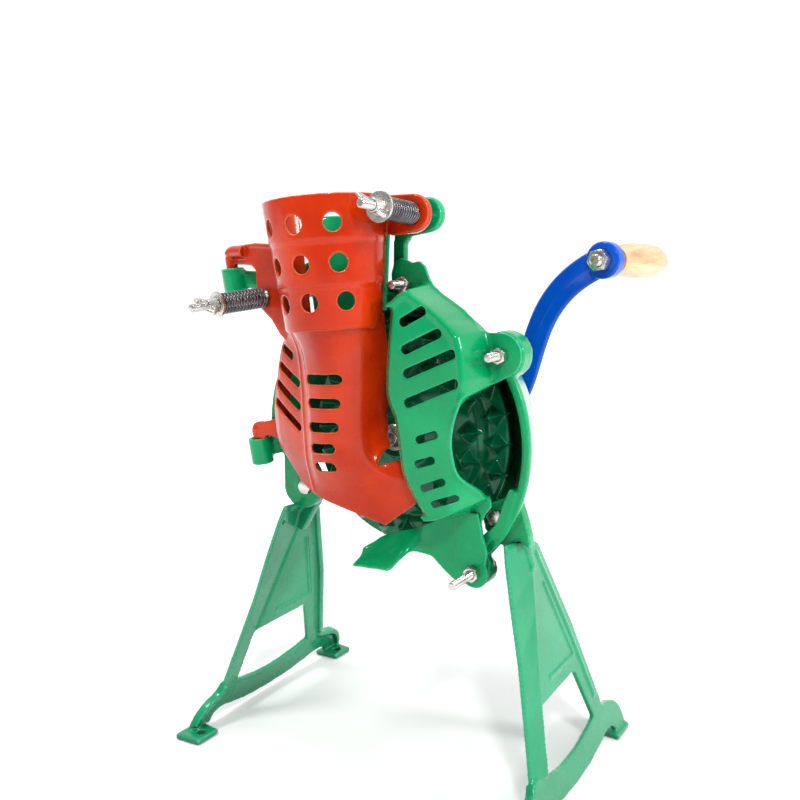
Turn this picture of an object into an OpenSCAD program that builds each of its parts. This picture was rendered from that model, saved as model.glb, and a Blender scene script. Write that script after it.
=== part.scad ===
// Hand-cranked disc corn sheller: a toothed disc turns in a cast dish, a sprung chute presses the cob
// against it, and two cast A-frame legs carry the dish.
// Frame: the origin is at floor level, in the middle of the four foot bolt holes. +Z is up, the disc
// turns about Y, and the chute faces -Y. Millimetres.

/* [Body casting] */
// Height of the disc's axis above the floor
axis_z = 318; // [314:1:322]
// Outer radius of the dish's front rim
dish_r = 145; // [144:0.5:147]
// Thickness of the dish's cast wall
dish_wall = 6; // [5:0.5:7]
// Radius of the circle that the guard's three studs lie on
stud_circle_r = 150; // [149:0.5:151]

/* [Disc and shaft] */
// Radius of the toothed disc
rotor_r = 112; // [109:0.5:112.5]
// Number of teeth in the outer ring
outer_teeth = 24; // [18:1:26]
// Number of teeth in the inner ring
inner_teeth = 17; // [12:1:18]
// Radius of the shaft in its bushes
shaft_r = 8; // [7.5:0.1:8.2]

/* [Crank] */
// Sideways reach of the crank's eye from the shaft
crank_reach_x = 165; // [150:1:175]
// Height of the crank's eye above the shaft
crank_reach_z = 170; // [155:1:180]
// Length of the wooden knob
knob_length = 112; // [95:1:125]
// Largest radius of the wooden knob
knob_r = 17.5; // [15:0.5:19]

/* [Chute] */
// Outer radius of the hopper at its rim
hopper_top_r = 57; // [55:0.5:59]
// Outer radius of the hopper where the trough starts
hopper_low_r = 44.5; // [43:0.5:46]
// Thickness of the chute's wall
chute_wall = 3; // [2.5:0.1:3.5]

/* [Legs] */
// Distance of the legs' planes from the centre at the floor
leg_foot_x = 192; // [188:1:196]
// Inward lean of the legs, in degrees
leg_lean = 14.57; // [14.2:0.1:15]
// Half the distance between the two foot bolt holes of one leg
foot_hole_y = 119; // [117:1:121]
// Distance of the foot bolt holes from the centre, sideways
foot_hole_x = 175; // [173:1:177]

/* [Springs] */
// Number of turns in each spring
spring_turns = 13; // [10:1:14]
// Outer radius of the springs
spring_r = 10; // [9.5:0.1:10.5]

/* [Hidden] */
$fn = 64;

green = [0.02, 0.55, 0.33];
red = [0.85, 0.16, 0.05];
blue = [0.05, 0.28, 0.72];
zinc = [0.78, 0.78, 0.76];
steel = [0.45, 0.46, 0.48];
black = [0.16, 0.14, 0.15];
wood = [0.85, 0.76, 0.6];
bronze = [0.7, 0.5, 0.25];

fit_gap = 0.05;
big = 400;

// Dish: the front rim is ahead of the axis point, and the floor is behind it.
dish_front_y = -32;
dish_back_y = 38;
dish_back_r = dish_r - 21;
dish_opening_r = 98;
lug_front_y = -39;
stud_r = 4;
stud_angles = [80.5, 35.6, -49];
stud_tips_y = [-66, -68, -83];
guard_flange_t = 3;
deflector_t = 3;
guard_lug_y = lug_front_y;

// Disc and shaft, as places along Y.
rotor_face_y = 4;
rotor_back_y = 14;
rotor_hub_r = 24;
rotor_hub_front_y = -20;
rotor_hub_back_y = 22;
tooth_h = 13;
boss_front_y = 26.1;
boss_back_y = 84;
bush_r = 12;
bush_length = 20;
shaft_thread_r = 6;
shaft_front_y = -40;
shaft_back_y = 118;
key_w = 5;

// Crank, as places along Y.
crank_front_y = 88;
crank_back_y = 104;
crank_arm_t = 9;
crank_seat_r = 7;
eye_y = 97;
eye_t = 14;
eye_r = 18;
knob_splay = 8;
eye_place = [crank_reach_x, eye_y, axis_z + crank_reach_z];
spindle_r = 6;

// Hinge of the chute: a straight line through the two hooks' pins.
hinge_low = [-153, -40, 293];
hinge_high = [-168, -58, 470];
hinge_vector = hinge_high - hinge_low;
hinge_length = norm(hinge_vector);
hinge_tilt = acos(hinge_vector[2] / hinge_length);
hinge_heading = atan2(hinge_vector[1], hinge_vector[0]);
pin_r = 6;
socket_r = 11.5;

// Hopper axis, from its lower centre.
hopper_foot = [-27, -80, 425];
hopper_lean = 4.44;
hopper_h = 116;
hopper_hole_r = 8;
spout_front_y = -66;

// Flange of the chute that the left spring pushes on, measured from the upper pin.
flange_turn = -15;
flange_t = 4;
left_bolt_u = 56;
left_bolt_z = 453;
left_bolt_tilt = 6;
left_boss_end = 46;
left_bolt_place = [hinge_high[0] + left_bolt_u * cos(flange_turn),
                   hinge_high[1] + left_bolt_u * sin(flange_turn), left_bolt_z];

// Right spring bolt.
right_bolt_x = 44;
right_bolt_z = 528;
right_bolt_place = [right_bolt_x, -62, right_bolt_z];
bolt_r = 4;
spring_length = 50;
spring_wire_r = 1.2;
spring_steps = 14;
clamp_washer_t = 2.5;

leg_bolt_x = 110;
leg_bolt_z = 254;
leg_bolt_r = 5;
leg_lug_front_y = -18;
leg_lug_back_y = -8;
leg_pad_back_y = 2;
leg_web_t = 5;
leg_washer_t = 2;
leg_rib_t = 14;

// A flat shape drawn in X and Z, given depth from y0 to y1.
module upright(y0, y1) {
    translate([0, y1, 0]) rotate([90, 0, 0]) linear_extrude(y1 - y0) children();
}

// A round bar on the disc's axis, from y0 to y1.
module axial(y0, y1, r) {
    translate([0, y1, axis_z]) rotate([90, 0, 0]) cylinder(h = y1 - y0, r = r);
}

// A round bar along Y at any x and z.
module bar_y(x, z, y0, y1, r) {
    translate([x, y1, z]) rotate([90, 0, 0]) cylinder(h = y1 - y0, r = r);
}

// A hexagon prism along Y.
module hex_y(x, z, y0, y1, flats) {
    translate([x, y1, z]) rotate([90, 0, 0]) cylinder(h = y1 - y0, r = flats / 2 / cos(30), $fn = 6);
}

// A nut along Y, with its bore.
module nut_y(x, z, y0, y1, flats, r) {
    difference() {
        hex_y(x, z, y0, y1, flats);
        bar_y(x, z, y0 - 1, y1 + 1, r + fit_gap);
    }
}

// A washer along Y.
module washer_y(x, z, y0, y1, r_out, r_in) {
    difference() {
        bar_y(x, z, y0, y1, r_out);
        bar_y(x, z, y0 - 1, y1 + 1, r_in);
    }
}

// A slot with round ends between two points, drawn in X and Z.
module slot(a, b, r) {
    run = b - a;
    translate(a) rotate(atan2(run[1], run[0])) union() {
        translate([0, -r]) square([norm(run), 2 * r]);
        circle(r, $fn = 24);
        translate([norm(run), 0]) circle(r, $fn = 24);
    }
}

// A sector of the plane around the disc's axis, as a polygon in X and Z.
module sector(from_angle, to_angle, r) {
    steps = 8;
    rim = [for (i = [0 : steps]) let (a = from_angle + (to_angle - from_angle) * i / steps)
           [r * cos(a), axis_z + r * sin(a)]];
    polygon(concat([[0, axis_z]], rim));
}

// Children stand on the chute's hinge line, with Z along it from the lower pin.
module on_hinge(along) {
    translate(hinge_low) rotate([0, 0, hinge_heading]) rotate([0, hinge_tilt, 0])
        translate([0, 0, along]) children();
}

// Children stand in the chute's flange, with X along it from the upper pin and Y behind it.
module in_flange() {
    translate([hinge_high[0], hinge_high[1], 0]) rotate([0, 0, flange_turn]) children();
}

// Children stand at the left bolt, with -Y along it towards the wing nut.
module at_left_bolt() {
    translate(left_bolt_place) rotate([left_bolt_tilt, 0, flange_turn]) children();
}

function stud_place(i) = [stud_circle_r * cos(stud_angles[i]), axis_z + stud_circle_r * sin(stud_angles[i])];

// ---------- body casting ----------

module dish_shell() {
    translate([0, 0, axis_z]) rotate([-90, 0, 0]) rotate_extrude() polygon([
        [bush_r, boss_front_y], [bush_r + 14, boss_front_y], [bush_r + 18, dish_back_y - dish_wall],
        [dish_back_r - dish_wall, dish_back_y - dish_wall], [dish_r - dish_wall, dish_front_y],
        [dish_r, dish_front_y], [dish_back_r, dish_back_y], [40, dish_back_y],
        [24, boss_back_y], [bush_r, boss_back_y]]);
}

module dish_rib(angle) {
    translate([0, 0, axis_z]) rotate([0, -angle, 0]) translate([0, 3, 0]) translate([0, 0, -3])
        linear_extrude(6) polygon([[22, 30], [dish_back_r - 6, 30], [dish_back_r - 8, 40], [24, 68]]);
}

module dish() {
    difference() {
        union() {
            dish_shell();
            for (angle = [20, 80, 140, 200]) dish_rib(angle);
        }
        // The lower part is open, so that kernels fall out.
        difference() {
            upright(dish_front_y - 1, dish_back_y + 40) sector(-150, -55, 260);
            axial(dish_front_y - 2, dish_back_y + 41, dish_opening_r);
        }
        // Room for the legs' pads behind the lugs.
        for (side = [-1, 1]) bar_y(side * (leg_bolt_x + 14), leg_bolt_z - 8, leg_lug_back_y, 27, 30);
    }
}

module leg_lug(side) {
    mirror([side < 0 ? 0 : 1, 0, 0]) upright(leg_lug_front_y, leg_lug_back_y) union() {
        translate([-leg_bolt_x - 6, leg_bolt_z]) circle(24);
        // The left lug reaches further up, towards the lower hinge socket.
        if (side < 0) polygon([[-140, 254], [-141, 290], [-131, 312], [-118, 312], [-112, 290], [-98, 266]]);
    }
}

module stud_lugs() {
    for (i = [0 : 2]) {
        p = stud_place(i);
        front = i == 2 ? guard_lug_y + guard_flange_t : lug_front_y;
        bar_y(p[0], p[1], front, -20, i == 1 ? 17 : 14);
    }
    // The lower stud's lug is carried by an arm from the end of the dish's wall.
    upright(-36, -26) polygon([[84, 205], [112, 205], [128, 250], [118, 262], [96, 240]]);
}

// A wedge that opens towards +Y from the hopper's axis. A larger slope makes it wider.
module back_wedge(slope) {
    translate([0, 0, -5]) linear_extrude(hopper_h + 10)
        polygon([[0, 0], [-slope * 100, 100], [slope * 100, 100]]);
}

// Green half shell that closes the hopper behind the chute.
module back_shell() {
    translate(hopper_foot) rotate([0, -hopper_lean, 0]) intersection() {
        difference() {
            translate([0, 0, 14]) cylinder(h = hopper_h - 22, r1 = hopper_low_r + 4.5, r2 = hopper_top_r + 2);
            translate([0, 0, 13]) cylinder(h = hopper_h, r1 = hopper_low_r - 1, r2 = hopper_top_r - 2);
        }
        back_wedge(1.7);
    }
}

module right_ear() {
    bar_y(right_bolt_x, right_bolt_z, -38, -28, 16);
    upright(-38, -30) polygon([[12, 505], [16, 543], [44, 544], [46, 512], [26, 508], [22, 500],
                               [22, 470], [10, 468]]);
}

module sockets() {
    difference() {
        on_hinge(-14) cylinder(h = 27, r = socket_r);
        on_hinge(-10) cylinder(h = 40, r = pin_r + fit_gap);
    }
    difference() {
        on_hinge(hinge_length - 13) cylinder(h = 24, r = socket_r);
        on_hinge(hinge_length - 20) cylinder(h = 40, r = pin_r + fit_gap);
    }
}

module lower_socket_arm() {
    hull() {
        translate([-145, -33, 284]) cylinder(h = 18, r = 3, $fn = 24);
        translate([-134, -13, 284]) cylinder(h = 24, r = 4.5, $fn = 24);
    }
}

module upper_socket_arm() {
    hull() {
        translate([-158, -50, 461]) cylinder(h = 17, r = 4, $fn = 24);
        translate([-112, -44, 456]) cylinder(h = 20, r = 5, $fn = 24);
    }
    hull() {
        translate([-112, -44, 456]) cylinder(h = 20, r = 5, $fn = 24);
        translate([-84, -36, 466]) cylinder(h = 24, r = 5, $fn = 24);
    }
    hull() {
        translate([-112, -44, 444]) cylinder(h = 24, r = 5, $fn = 24);
        translate([-98, -26, 415]) cylinder(h = 16, r = 5, $fn = 24);
    }
}

module body_casting() {
    color(green) difference() {
        union() {
            dish();
            leg_lug(-1);
            leg_lug(1);
            stud_lugs();
            back_shell();
            right_ear();
            lower_socket_arm();
            upper_socket_arm();
            sockets();
            at_left_bolt() bar_y(0, 0, 24, left_boss_end, 10);
        }
        for (i = [0 : 2]) bar_y(stud_place(i)[0], stud_place(i)[1], -60, 0, stud_r + fit_gap);
        for (side = [-1, 1]) bar_y(side * leg_bolt_x, leg_bolt_z, -60, 20, leg_bolt_r + fit_gap);
        bar_y(right_bolt_x, right_bolt_z, -80, 0, bolt_r + fit_gap);
        at_left_bolt() bar_y(0, 0, 0, 60, bolt_r + fit_gap);
        on_hinge(-10) cylinder(h = 30, r = pin_r + fit_gap);
        on_hinge(hinge_length - 20) cylinder(h = 40, r = pin_r + fit_gap);
        axial(-60, dish_back_y - dish_wall - 7, 30);
    }
}

// ---------- disc and shaft ----------

module shaft_bushes() {
    color(bronze) {
        washer_y(0, axis_z, boss_front_y, boss_front_y + bush_length, bush_r, shaft_r + fit_gap);
        washer_y(0, axis_z, boss_back_y - bush_length, boss_back_y, bush_r, shaft_r + fit_gap);
    }
}

module key_block(y0, y1, seat_r) {
    translate([-key_w / 2, y0, axis_z + seat_r - key_w / 2]) cube([key_w, y1 - y0, key_w]);
}

module tooth_ring(count, ring_r, base_r, turn) {
    for (i = [0 : count - 1]) {
        a = turn + 360 * i / count;
        translate([ring_r * cos(a), rotor_face_y + 1, axis_z + ring_r * sin(a)])
            rotate([90, 0, 0]) cylinder(h = tooth_h + 1, r1 = base_r, r2 = 1.6, $fn = 24);
    }
}

module rotor_disc() {
    color(green) difference() {
        union() {
            translate([0, 0, axis_z]) rotate([-90, 0, 0]) rotate_extrude() polygon([
                [0, rotor_hub_front_y], [rotor_hub_r - 3, rotor_hub_front_y], [rotor_hub_r, -6],
                [rotor_hub_r + 6, rotor_face_y], [78, rotor_face_y], [84, rotor_face_y + 3],
                [90, rotor_face_y], [rotor_r, rotor_face_y - 2], [rotor_r, rotor_back_y + 2],
                [rotor_r - 6, rotor_back_y], [rotor_hub_r + 8, rotor_back_y],
                [rotor_hub_r - 2, rotor_hub_back_y], [0, rotor_hub_back_y]]);
            tooth_ring(outer_teeth, rotor_r - 12, 9, 0);
            tooth_ring(inner_teeth, rotor_r - 42, 8.5, 6);
        }
        axial(-60, 60, shaft_r + fit_gap);
        key_block(rotor_hub_front_y - 1, rotor_hub_back_y + 1, shaft_r);
    }
}

module main_shaft() {
    color(steel) difference() {
        union() {
            axial(shaft_front_y, rotor_hub_front_y + 1, shaft_thread_r);
            axial(rotor_hub_front_y, crank_front_y, shaft_r);
            axial(crank_front_y, crank_back_y, crank_seat_r);
            axial(crank_back_y, shaft_back_y, shaft_thread_r);
        }
        key_block(rotor_hub_front_y + 4, rotor_hub_back_y - 4, shaft_r);
        key_block(crank_front_y + 2, crank_back_y - 2, crank_seat_r);
    }
}

module rotor_key() {
    color(steel) key_block(rotor_hub_front_y + 4, rotor_hub_back_y - 4, shaft_r);
}

module thrust_washer() {
    color(bronze) washer_y(0, axis_z, rotor_hub_back_y, boss_front_y - 0.1, 18, shaft_r + fit_gap);
}

module shaft_front_washer() {
    color(zinc) washer_y(0, axis_z, rotor_hub_front_y - 3, rotor_hub_front_y, 13, shaft_thread_r + fit_gap);
}

module shaft_front_nut() {
    color(zinc) nut_y(0, axis_z, rotor_hub_front_y - 13, rotor_hub_front_y - 3, 18, shaft_thread_r);
}

// ---------- crank ----------

module crank_spacer() {
    color(zinc) washer_y(0, axis_z, boss_back_y + 0.1, crank_front_y, 15, shaft_r + fit_gap);
}

function bezier(a, b, c, d, t) =
    a * pow(1 - t, 3) + 3 * b * t * pow(1 - t, 2) + 3 * c * t * t * (1 - t) + d * pow(t, 3);
function crank_path(t) = bezier([0, 0], [0.79 * crank_reach_x, 0],
    [0.3 * crank_reach_x, 0.71 * crank_reach_z], [crank_reach_x, crank_reach_z], t);
function crank_normal(t) = let (d = crank_path(t + 0.01) - crank_path(t - 0.01)) [-d[1], d[0]] / norm(d);
function crank_edge(t, side) = crank_path(t) + side * crank_normal(t) * (14 - 4 * sin(180 * t));

module crank_outline() {
    steps = 20;
    left = [for (i = [0 : steps]) crank_edge(i / steps, 1)];
    right = [for (i = [steps : -1 : 0]) crank_edge(i / steps, -1)];
    translate([0, axis_z]) polygon(concat(left, right));
}

module at_eye() {
    translate(eye_place) rotate([0, 0, -knob_splay]) children();
}

module crank_arm() {
    color(blue) difference() {
        union() {
            axial(crank_front_y, crank_back_y, 19);
            upright(eye_y - crank_arm_t / 2, eye_y + crank_arm_t / 2) crank_outline();
            at_eye() bar_y(0, 0, -eye_t / 2, eye_t / 2, eye_r);
        }
        axial(60, 140, crank_seat_r + fit_gap);
        key_block(crank_front_y - 1, crank_back_y + 1, crank_seat_r);
        at_eye() bar_y(0, 0, -40, 40, spindle_r + fit_gap);
        at_eye() bar_y(0, 0, -40, -eye_t / 2, 30);
        at_eye() bar_y(0, 0, eye_t / 2, 40, 30);
    }
}

module crank_key() {
    color(steel) key_block(crank_front_y + 2, crank_back_y - 2, crank_seat_r);
}

module crank_washer() {
    color(zinc) washer_y(0, axis_z, crank_back_y, crank_back_y + 3, 13, shaft_thread_r + fit_gap);
}

module crank_nut() {
    color(zinc) nut_y(0, axis_z, crank_back_y + 3, crank_back_y + 12, 19, shaft_thread_r);
}

// ---------- knob ----------

knob_start = eye_t / 2 + 2;
knob_end = knob_start + knob_length;

module knob_spindle() {
    color(zinc) at_eye() {
        bar_y(0, 0, -eye_t / 2 - 15, knob_end - 8, spindle_r);
        washer_y(0, 0, eye_t / 2, knob_start - 0.1, 10, spindle_r - 1);
        bar_y(0, 0, knob_end - 8, knob_end - 4, spindle_r + 4);
    }
}

module spindle_nut() {
    color(zinc) at_eye() nut_y(0, 0, -eye_t / 2 - 10, -eye_t / 2, 19, spindle_r);
}

module knob_ferrule() {
    color(bronze) at_eye() washer_y(0, 0, knob_start, knob_start + 9, 14, 12.5);
}

// The knob swells from its ferrule, and its end is round.
function knob_profile(steps) = [for (i = [0 : steps]) let (t = i / steps)
    [12.5 + (knob_r - 12.5) * sin(min(90, 190 * t)) - (t > 0.7 ? 6 * pow((t - 0.7) / 0.3, 2) : 0),
     knob_start + 9 + t * (knob_length - 9)]];

module wooden_knob() {
    color(wood) at_eye() difference() {
        rotate([-90, 0, 0]) rotate_extrude() polygon(concat(
            [[0, knob_start], [12.5, knob_start]], knob_profile(14), [[0, knob_end]]));
        bar_y(0, 0, 0, knob_end + 5, spindle_r + fit_gap);
        bar_y(0, 0, knob_end - 8.1, knob_end + 5, spindle_r + 5);
    }
}

// ---------- chute ----------

trough_outline = [[-128, -37], [-52, -93], [-40, -100], [-22, -102], [-5, -95], [5, -80], [9, -62], [9, -48],
                  [6, -48], [6, -61], [2, -78], [-7, -92], [-22, -99], [-39, -97], [-50, -90], [-126, -34]];
chute_holes = [[-124, 92], [-86, 92], [-49, 92], [-122, 58], [-84, 58], [-45, 58],
               [-119, 25], [-80, 25], [-39, 25]];
trough_slots = [[-47, -6, 380], [-46, -8, 358], [-45, -10, 336], [-43, -14, 316], [-44, -18, 297]];
wing_slots = [[[-98, 401], [-80, 394]], [[-103, 384], [-68, 372]], [[-108, 367], [-66, 351]],
              [[-111, 349], [-66, 331]]];
spout_outline = [[-64, 318], [-75, 290], [-66, 275], [-53, 266], [-19, 257], [22, 247], [49, 268],
                 [44, 298], [30, 306], [16, 301], [6, 297], [5, 318]];

module hopper() {
    translate(hopper_foot) rotate([0, -hopper_lean, 0]) difference() {
        cylinder(h = hopper_h, r1 = hopper_low_r, r2 = hopper_top_r);
        translate([0, 0, -1])
            cylinder(h = hopper_h + 2, r1 = hopper_low_r - chute_wall, r2 = hopper_top_r - chute_wall);
        // The back is open towards the body's shell.
        back_wedge(2.1);
        for (h = chute_holes) rotate([0, 0, h[0]]) translate([30, 0, h[1]]) rotate([0, 90, 0])
            cylinder(h = 40, r = hopper_hole_r, $fn = 32);
    }
}

module trough() {
    difference() {
        translate([0, 0, 306]) linear_extrude(132) polygon(trough_outline);
        // The wing narrows towards the hopper and at its foot.
        upright(-80, -20)
            polygon([[-140, 300], [-106, 312], [-84, 309], [-70, 300], [-70, 290], [-140, 290]]);
        upright(-80, -20) polygon([[-140, 440], [-84, 440], [-97, 418], [-108, 395], [-116, 370],
                                   [-124, 338], [-140, 336]]);
        for (s = wing_slots) upright(-110, -20) slot(s[0], s[1], 4);
    }
}

module spout() {
    upright(spout_front_y, spout_front_y + chute_wall) polygon(spout_outline);
    translate([-64, 0, 0]) rotate([90, 0, 90]) linear_extrude(70)
        polygon([[-102, 310], [-98, 310], [spout_front_y + chute_wall, 277], [spout_front_y, 277]]);
}

module left_flange() {
    in_flange() difference() {
        upright(-flange_t / 2, flange_t / 2) polygon([[0, 484], [4, 501], [86.5, 501], [101, 423], [84, 416],
            [66, 434], [42, 447], [41, 480], [26, 484]]);
        translate([left_bolt_u, -10, left_bolt_z]) rotate([-90, 0, 0]) cylinder(h = 20, r = bolt_r + 2);
    }
}

module hooks() {
    on_hinge(hinge_length - 12.5) cylinder(h = 40, r = pin_r);
    on_hinge(-9) cylinder(h = 40, r = pin_r);
    upright(-46, -38) polygon([[-160, 318], [-160, 331], [-124, 335], [-116, 330], [-116, 318]]);
}

module ear() {
    difference() {
        union() {
            bar_y(right_bolt_x, right_bolt_z, -62, -54, 17);
            upright(-62, -54) polygon([[14, 512], [14, 545], [44, 545], [44, 511]]);
        }
        bar_y(right_bolt_x, right_bolt_z, -70, -40, bolt_r + 2);
    }
}

module chute() {
    color(red) union() {
        hopper();
        difference() {
            union() {
                trough();
                spout();
            }
            for (s = trough_slots) upright(-120, -50) slot([s[0] + 4.5, s[2]], [s[1] - 4.5, s[2] + 2], 4.5);
        }
        left_flange();
        hooks();
        ear();
    }
}

// ---------- guard ----------

guard_face = [[34, 457], [48, 461], [60, 453], [80, 440], [93, 430], [101, 424], [107, 412], [110, 392],
              [113, 375], [105, 369], [98, 350], [95, 336], [95, 328], [99, 312], [109, 296], [128, 280],
              [98, 268], [83, 260], [68, 258], [55, 274], [47, 287], [41, 299], [38, 316], [36, 330],
              [33, 347], [25, 362], [24, 391], [27, 426]];
guard_slots = [[[46, 434], [65, 444]], [[48, 410], [80, 425]], [[50, 389], [94, 408]],
               [[51, 363], [97, 383]]];
guard_slot_r = 4.3;
band_slots = [[[62, 331], [78, 337]], [[61, 309], [75, 314]], [[68, 290], [87, 294]], [[78, 275], [96, 282]]];
band_slot_r = 3.5;
guard_front_y = -80;
guard_t = 3;

module guard_flange() {
    upright(lug_front_y - guard_flange_t, lug_front_y) difference() {
        union() {
            translate(stud_place(0)) circle(14);
            translate(stud_place(1)) circle(19);
            polygon([[14, 474], [38, 472], [52, 455], [80, 438], [100, 423], [118, 424], [112, 388],
                     [104, 376], [99, 372], [93, 395], [90, 410], [84, 424], [56, 446], [36, 452]]);
        }
        for (i = [0 : 1]) translate(stud_place(i)) circle(stud_r + fit_gap);
    }
    // The lower lug stands behind the deflector.
    upright(guard_lug_y, guard_lug_y + guard_flange_t) difference() {
        union() {
            translate(stud_place(2)) circle(15);
            polygon([[83, 206], [112, 206], [116, 250], [132, 284], [70, 262], [74, 240]]);
        }
        translate(stud_place(2)) circle(stud_r + fit_gap);
    }
}

module guard_wall() {
    upright(guard_front_y, lug_front_y)
        polygon([[34, 457], [48, 461], [60, 453], [80, 440], [93, 430], [101, 424], [107, 412], [110, 392],
                 [113, 375], [109, 374], [106, 391], [103, 410], [98, 421], [91, 427], [78, 437], [58, 449],
                 [47, 457], [34, 453]]);
    upright(guard_front_y, guard_lug_y + guard_flange_t)
        polygon([[68, 258], [83, 260], [98, 268], [128, 280], [129, 277], [99, 264], [84, 256], [68, 254]]);
}

module guard() {
    color(green) union() {
        upright(guard_front_y, guard_front_y + guard_t) difference() {
            polygon(guard_face);
            for (s = guard_slots) slot(s[0], s[1], guard_slot_r);
            for (s = band_slots) slot(s[0], s[1], band_slot_r);
        }
        guard_wall();
        guard_flange();
    }
}

module guard_studs() {
    color(zinc) for (i = [0 : 2]) bar_y(stud_place(i)[0], stud_place(i)[1], stud_tips_y[i], -20, stud_r);
}

module guard_nuts() {
    front = lug_front_y - guard_flange_t;
    color(zinc) for (i = [0 : 2]) nut_y(stud_place(i)[0], stud_place(i)[1], front - 7, front, 13, stud_r);
}

deflector_patches = [[[-15, -73, 202], [27, -72, 204], [-1, -47, 224], [16, -40, 231], [35, -40, 236]],
                     [[27, -72, 204], [35, -40, 236], [42, -48, 214], [48, -41, 243]],
                     [[42, -48, 214], [48, -41, 243], [60, -41, 214], [62, -41, 240]]];

module kernel_deflector() {
    color(green) difference() {
        union() {
            upright(guard_lug_y - deflector_t, guard_lug_y) union() {
                translate(stud_place(2)) circle(15);
                polygon([[84, 204], [98, 190], [112, 206], [110, 236], [54, 246], [50, 238], [66, 214]]);
            }
            for (patch = deflector_patches) hull() {
                for (p = patch) translate(p) sphere(1.5, $fn = 12);
            }
        }
        bar_y(stud_place(2)[0], stud_place(2)[1], -60, 0, stud_r + fit_gap);
    }
}

// ---------- legs ----------

leg_top = [[24, 229], [18, 233], [-12, 234], [-20, 243], [-38, 245], [-44, 240], [-59, 187], [-67, 140]];
foot_outer = [[-88, 44], [-91, 37], [-99, 32.5], [-108, 28], [-116, 21], [-121, 12], [-123.5, 3.5]];
foot_inner = [[-92.5, 3.5], [-92, 9], [-88.5, 13], [-82, 15.5], [-74, 15.5], [-60, 12.5], [-34, 9], [0, 7.5]];
leg_window = [[-58, 42], [-44, 94], [-41, 96], [38, 98], [43, 95], [63, 43], [42, 38.5], [10, 34.5], [-26, 35]];

function flipped(line) = [for (i = [len(line) - 1 : -1 : 0]) [-line[i][0], line[i][1]]];

leg_outline = concat(leg_top, foot_outer, foot_inner, flipped(foot_inner), flipped(foot_outer), [[60, 140]]);

module strip(a, b, w) {
    run = b - a;
    translate(a) rotate(atan2(run[1], run[0])) translate([0, -w / 2]) square([norm(run), w]);
}

module leg_plane() {
    translate([-leg_foot_x, 0, 0]) rotate([0, leg_lean, 0]) rotate([90, 0, 90]) children();
}

module foot(side) {
    difference() {
        translate([-193, side * foot_hole_y - 15, 0]) cube([29, 30, 6]);
        translate([-foot_hole_x, side * foot_hole_y, -1]) cylinder(h = 8, r = 4.5);
    }
}

module one_leg() {
    difference() {
        union() {
            leg_plane() linear_extrude(leg_web_t) difference() {
                polygon(leg_outline);
                polygon(leg_window);
            }
            leg_plane() linear_extrude(leg_rib_t) {
                strip([-40, 239], [-63, 140], 7);
                strip([-63, 140], [-85, 46], 7);
                strip([22, 226], [58, 140], 7);
                strip([58, 140], [87, 42], 7);
            }
            foot(-1);
            foot(1);
            upright(leg_lug_back_y, leg_pad_back_y) union() {
                translate([-leg_bolt_x, leg_bolt_z]) circle(13.5);
                polygon([[-102, 264], [-119, 264], [-143, 205], [-124, 200], [-99, 246]]);
            }
        }
        bar_y(-leg_bolt_x, leg_bolt_z, -60, 20, leg_bolt_r + fit_gap);
        translate([-big, -big, -big]) cube([2 * big, 2 * big, big]);
    }
}

module left_leg() {
    color(green) one_leg();
}

module right_leg() {
    color(green) mirror([1, 0, 0]) one_leg();
}

module leg_bolts() {
    color(zinc) for (side = [-1, 1]) {
        hex_y(side * leg_bolt_x, leg_bolt_z, leg_lug_front_y - 6.5, leg_lug_front_y, 14);
        bar_y(side * leg_bolt_x, leg_bolt_z, leg_lug_front_y, 17, leg_bolt_r);
    }
}

module leg_washers() {
    color(zinc) for (side = [-1, 1])
        washer_y(side * leg_bolt_x, leg_bolt_z, leg_pad_back_y, leg_pad_back_y + leg_washer_t, 9.5,
                 leg_bolt_r + fit_gap);
}

module leg_nuts() {
    color(zinc) for (side = [-1, 1])
        nut_y(side * leg_bolt_x, leg_bolt_z, leg_pad_back_y + leg_washer_t, leg_pad_back_y + 10, 15,
              leg_bolt_r);
}

// ---------- spring clamps ----------

// Points around one ring of the spring's wire. The axis is Y, and the spring runs from y0 to y1.
function coil_point(y0, y1, k, j, last) =
    let (a = 360 * spring_turns * k / last,
         w = 60 * j,
         r = spring_r - spring_wire_r + spring_wire_r * cos(w),
         y = y0 + spring_wire_r + (y1 - y0 - 2 * spring_wire_r) * k / last + spring_wire_r * sin(w))
    [r * cos(a), y, r * sin(a)];

module coil_spring(y0, y1) {
    last = spring_turns * spring_steps;
    points = [for (k = [0 : last]) for (j = [0 : 5]) coil_point(y0, y1, k, j, last)];
    sides = [for (k = [0 : last - 1]) for (j = [0 : 5])
             [6 * k + j, 6 * k + (j + 1) % 6, 6 * k + 6 + (j + 1) % 6, 6 * k + 6 + j]];
    caps = [[5, 4, 3, 2, 1, 0], [for (j = [0 : 5]) 6 * last + j]];
    polyhedron(points, concat(sides, caps), convexity = 8);
}

// The wing nut stands between y0 and y1, and its two wings lean away from the washer.
module wing_nut_shape(y0, y1) {
    difference() {
        union() {
            bar_y(0, 0, y0, y1, 7.5);
            for (side = [-1, 1]) hull() {
                translate([side * 6, y1 - 3, 0]) sphere(2, $fn = 12);
                translate([side * 15, y0 + 2, 0]) sphere(2.5, $fn = 12);
                translate([side * 11, y0 - 4, 0]) sphere(2, $fn = 12);
                translate([side * 6, y0 + 3, 0]) sphere(2, $fn = 12);
            }
        }
        bar_y(0, 0, y0 - 20, y1 + 20, bolt_r + fit_gap);
    }
}

washer_y1 = -spring_length;
washer_y0 = washer_y1 - clamp_washer_t;
wing_y0 = washer_y0 - 10;

module right_spring_bolt() {
    color(zinc) {
        bar_y(right_bolt_x, right_bolt_z, -142, -28, bolt_r);
        hex_y(right_bolt_x, right_bolt_z, -28, -22, 13);
    }
}

module right_spring() {
    color(black) translate(right_bolt_place) coil_spring(-spring_length, 0);
}

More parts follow.
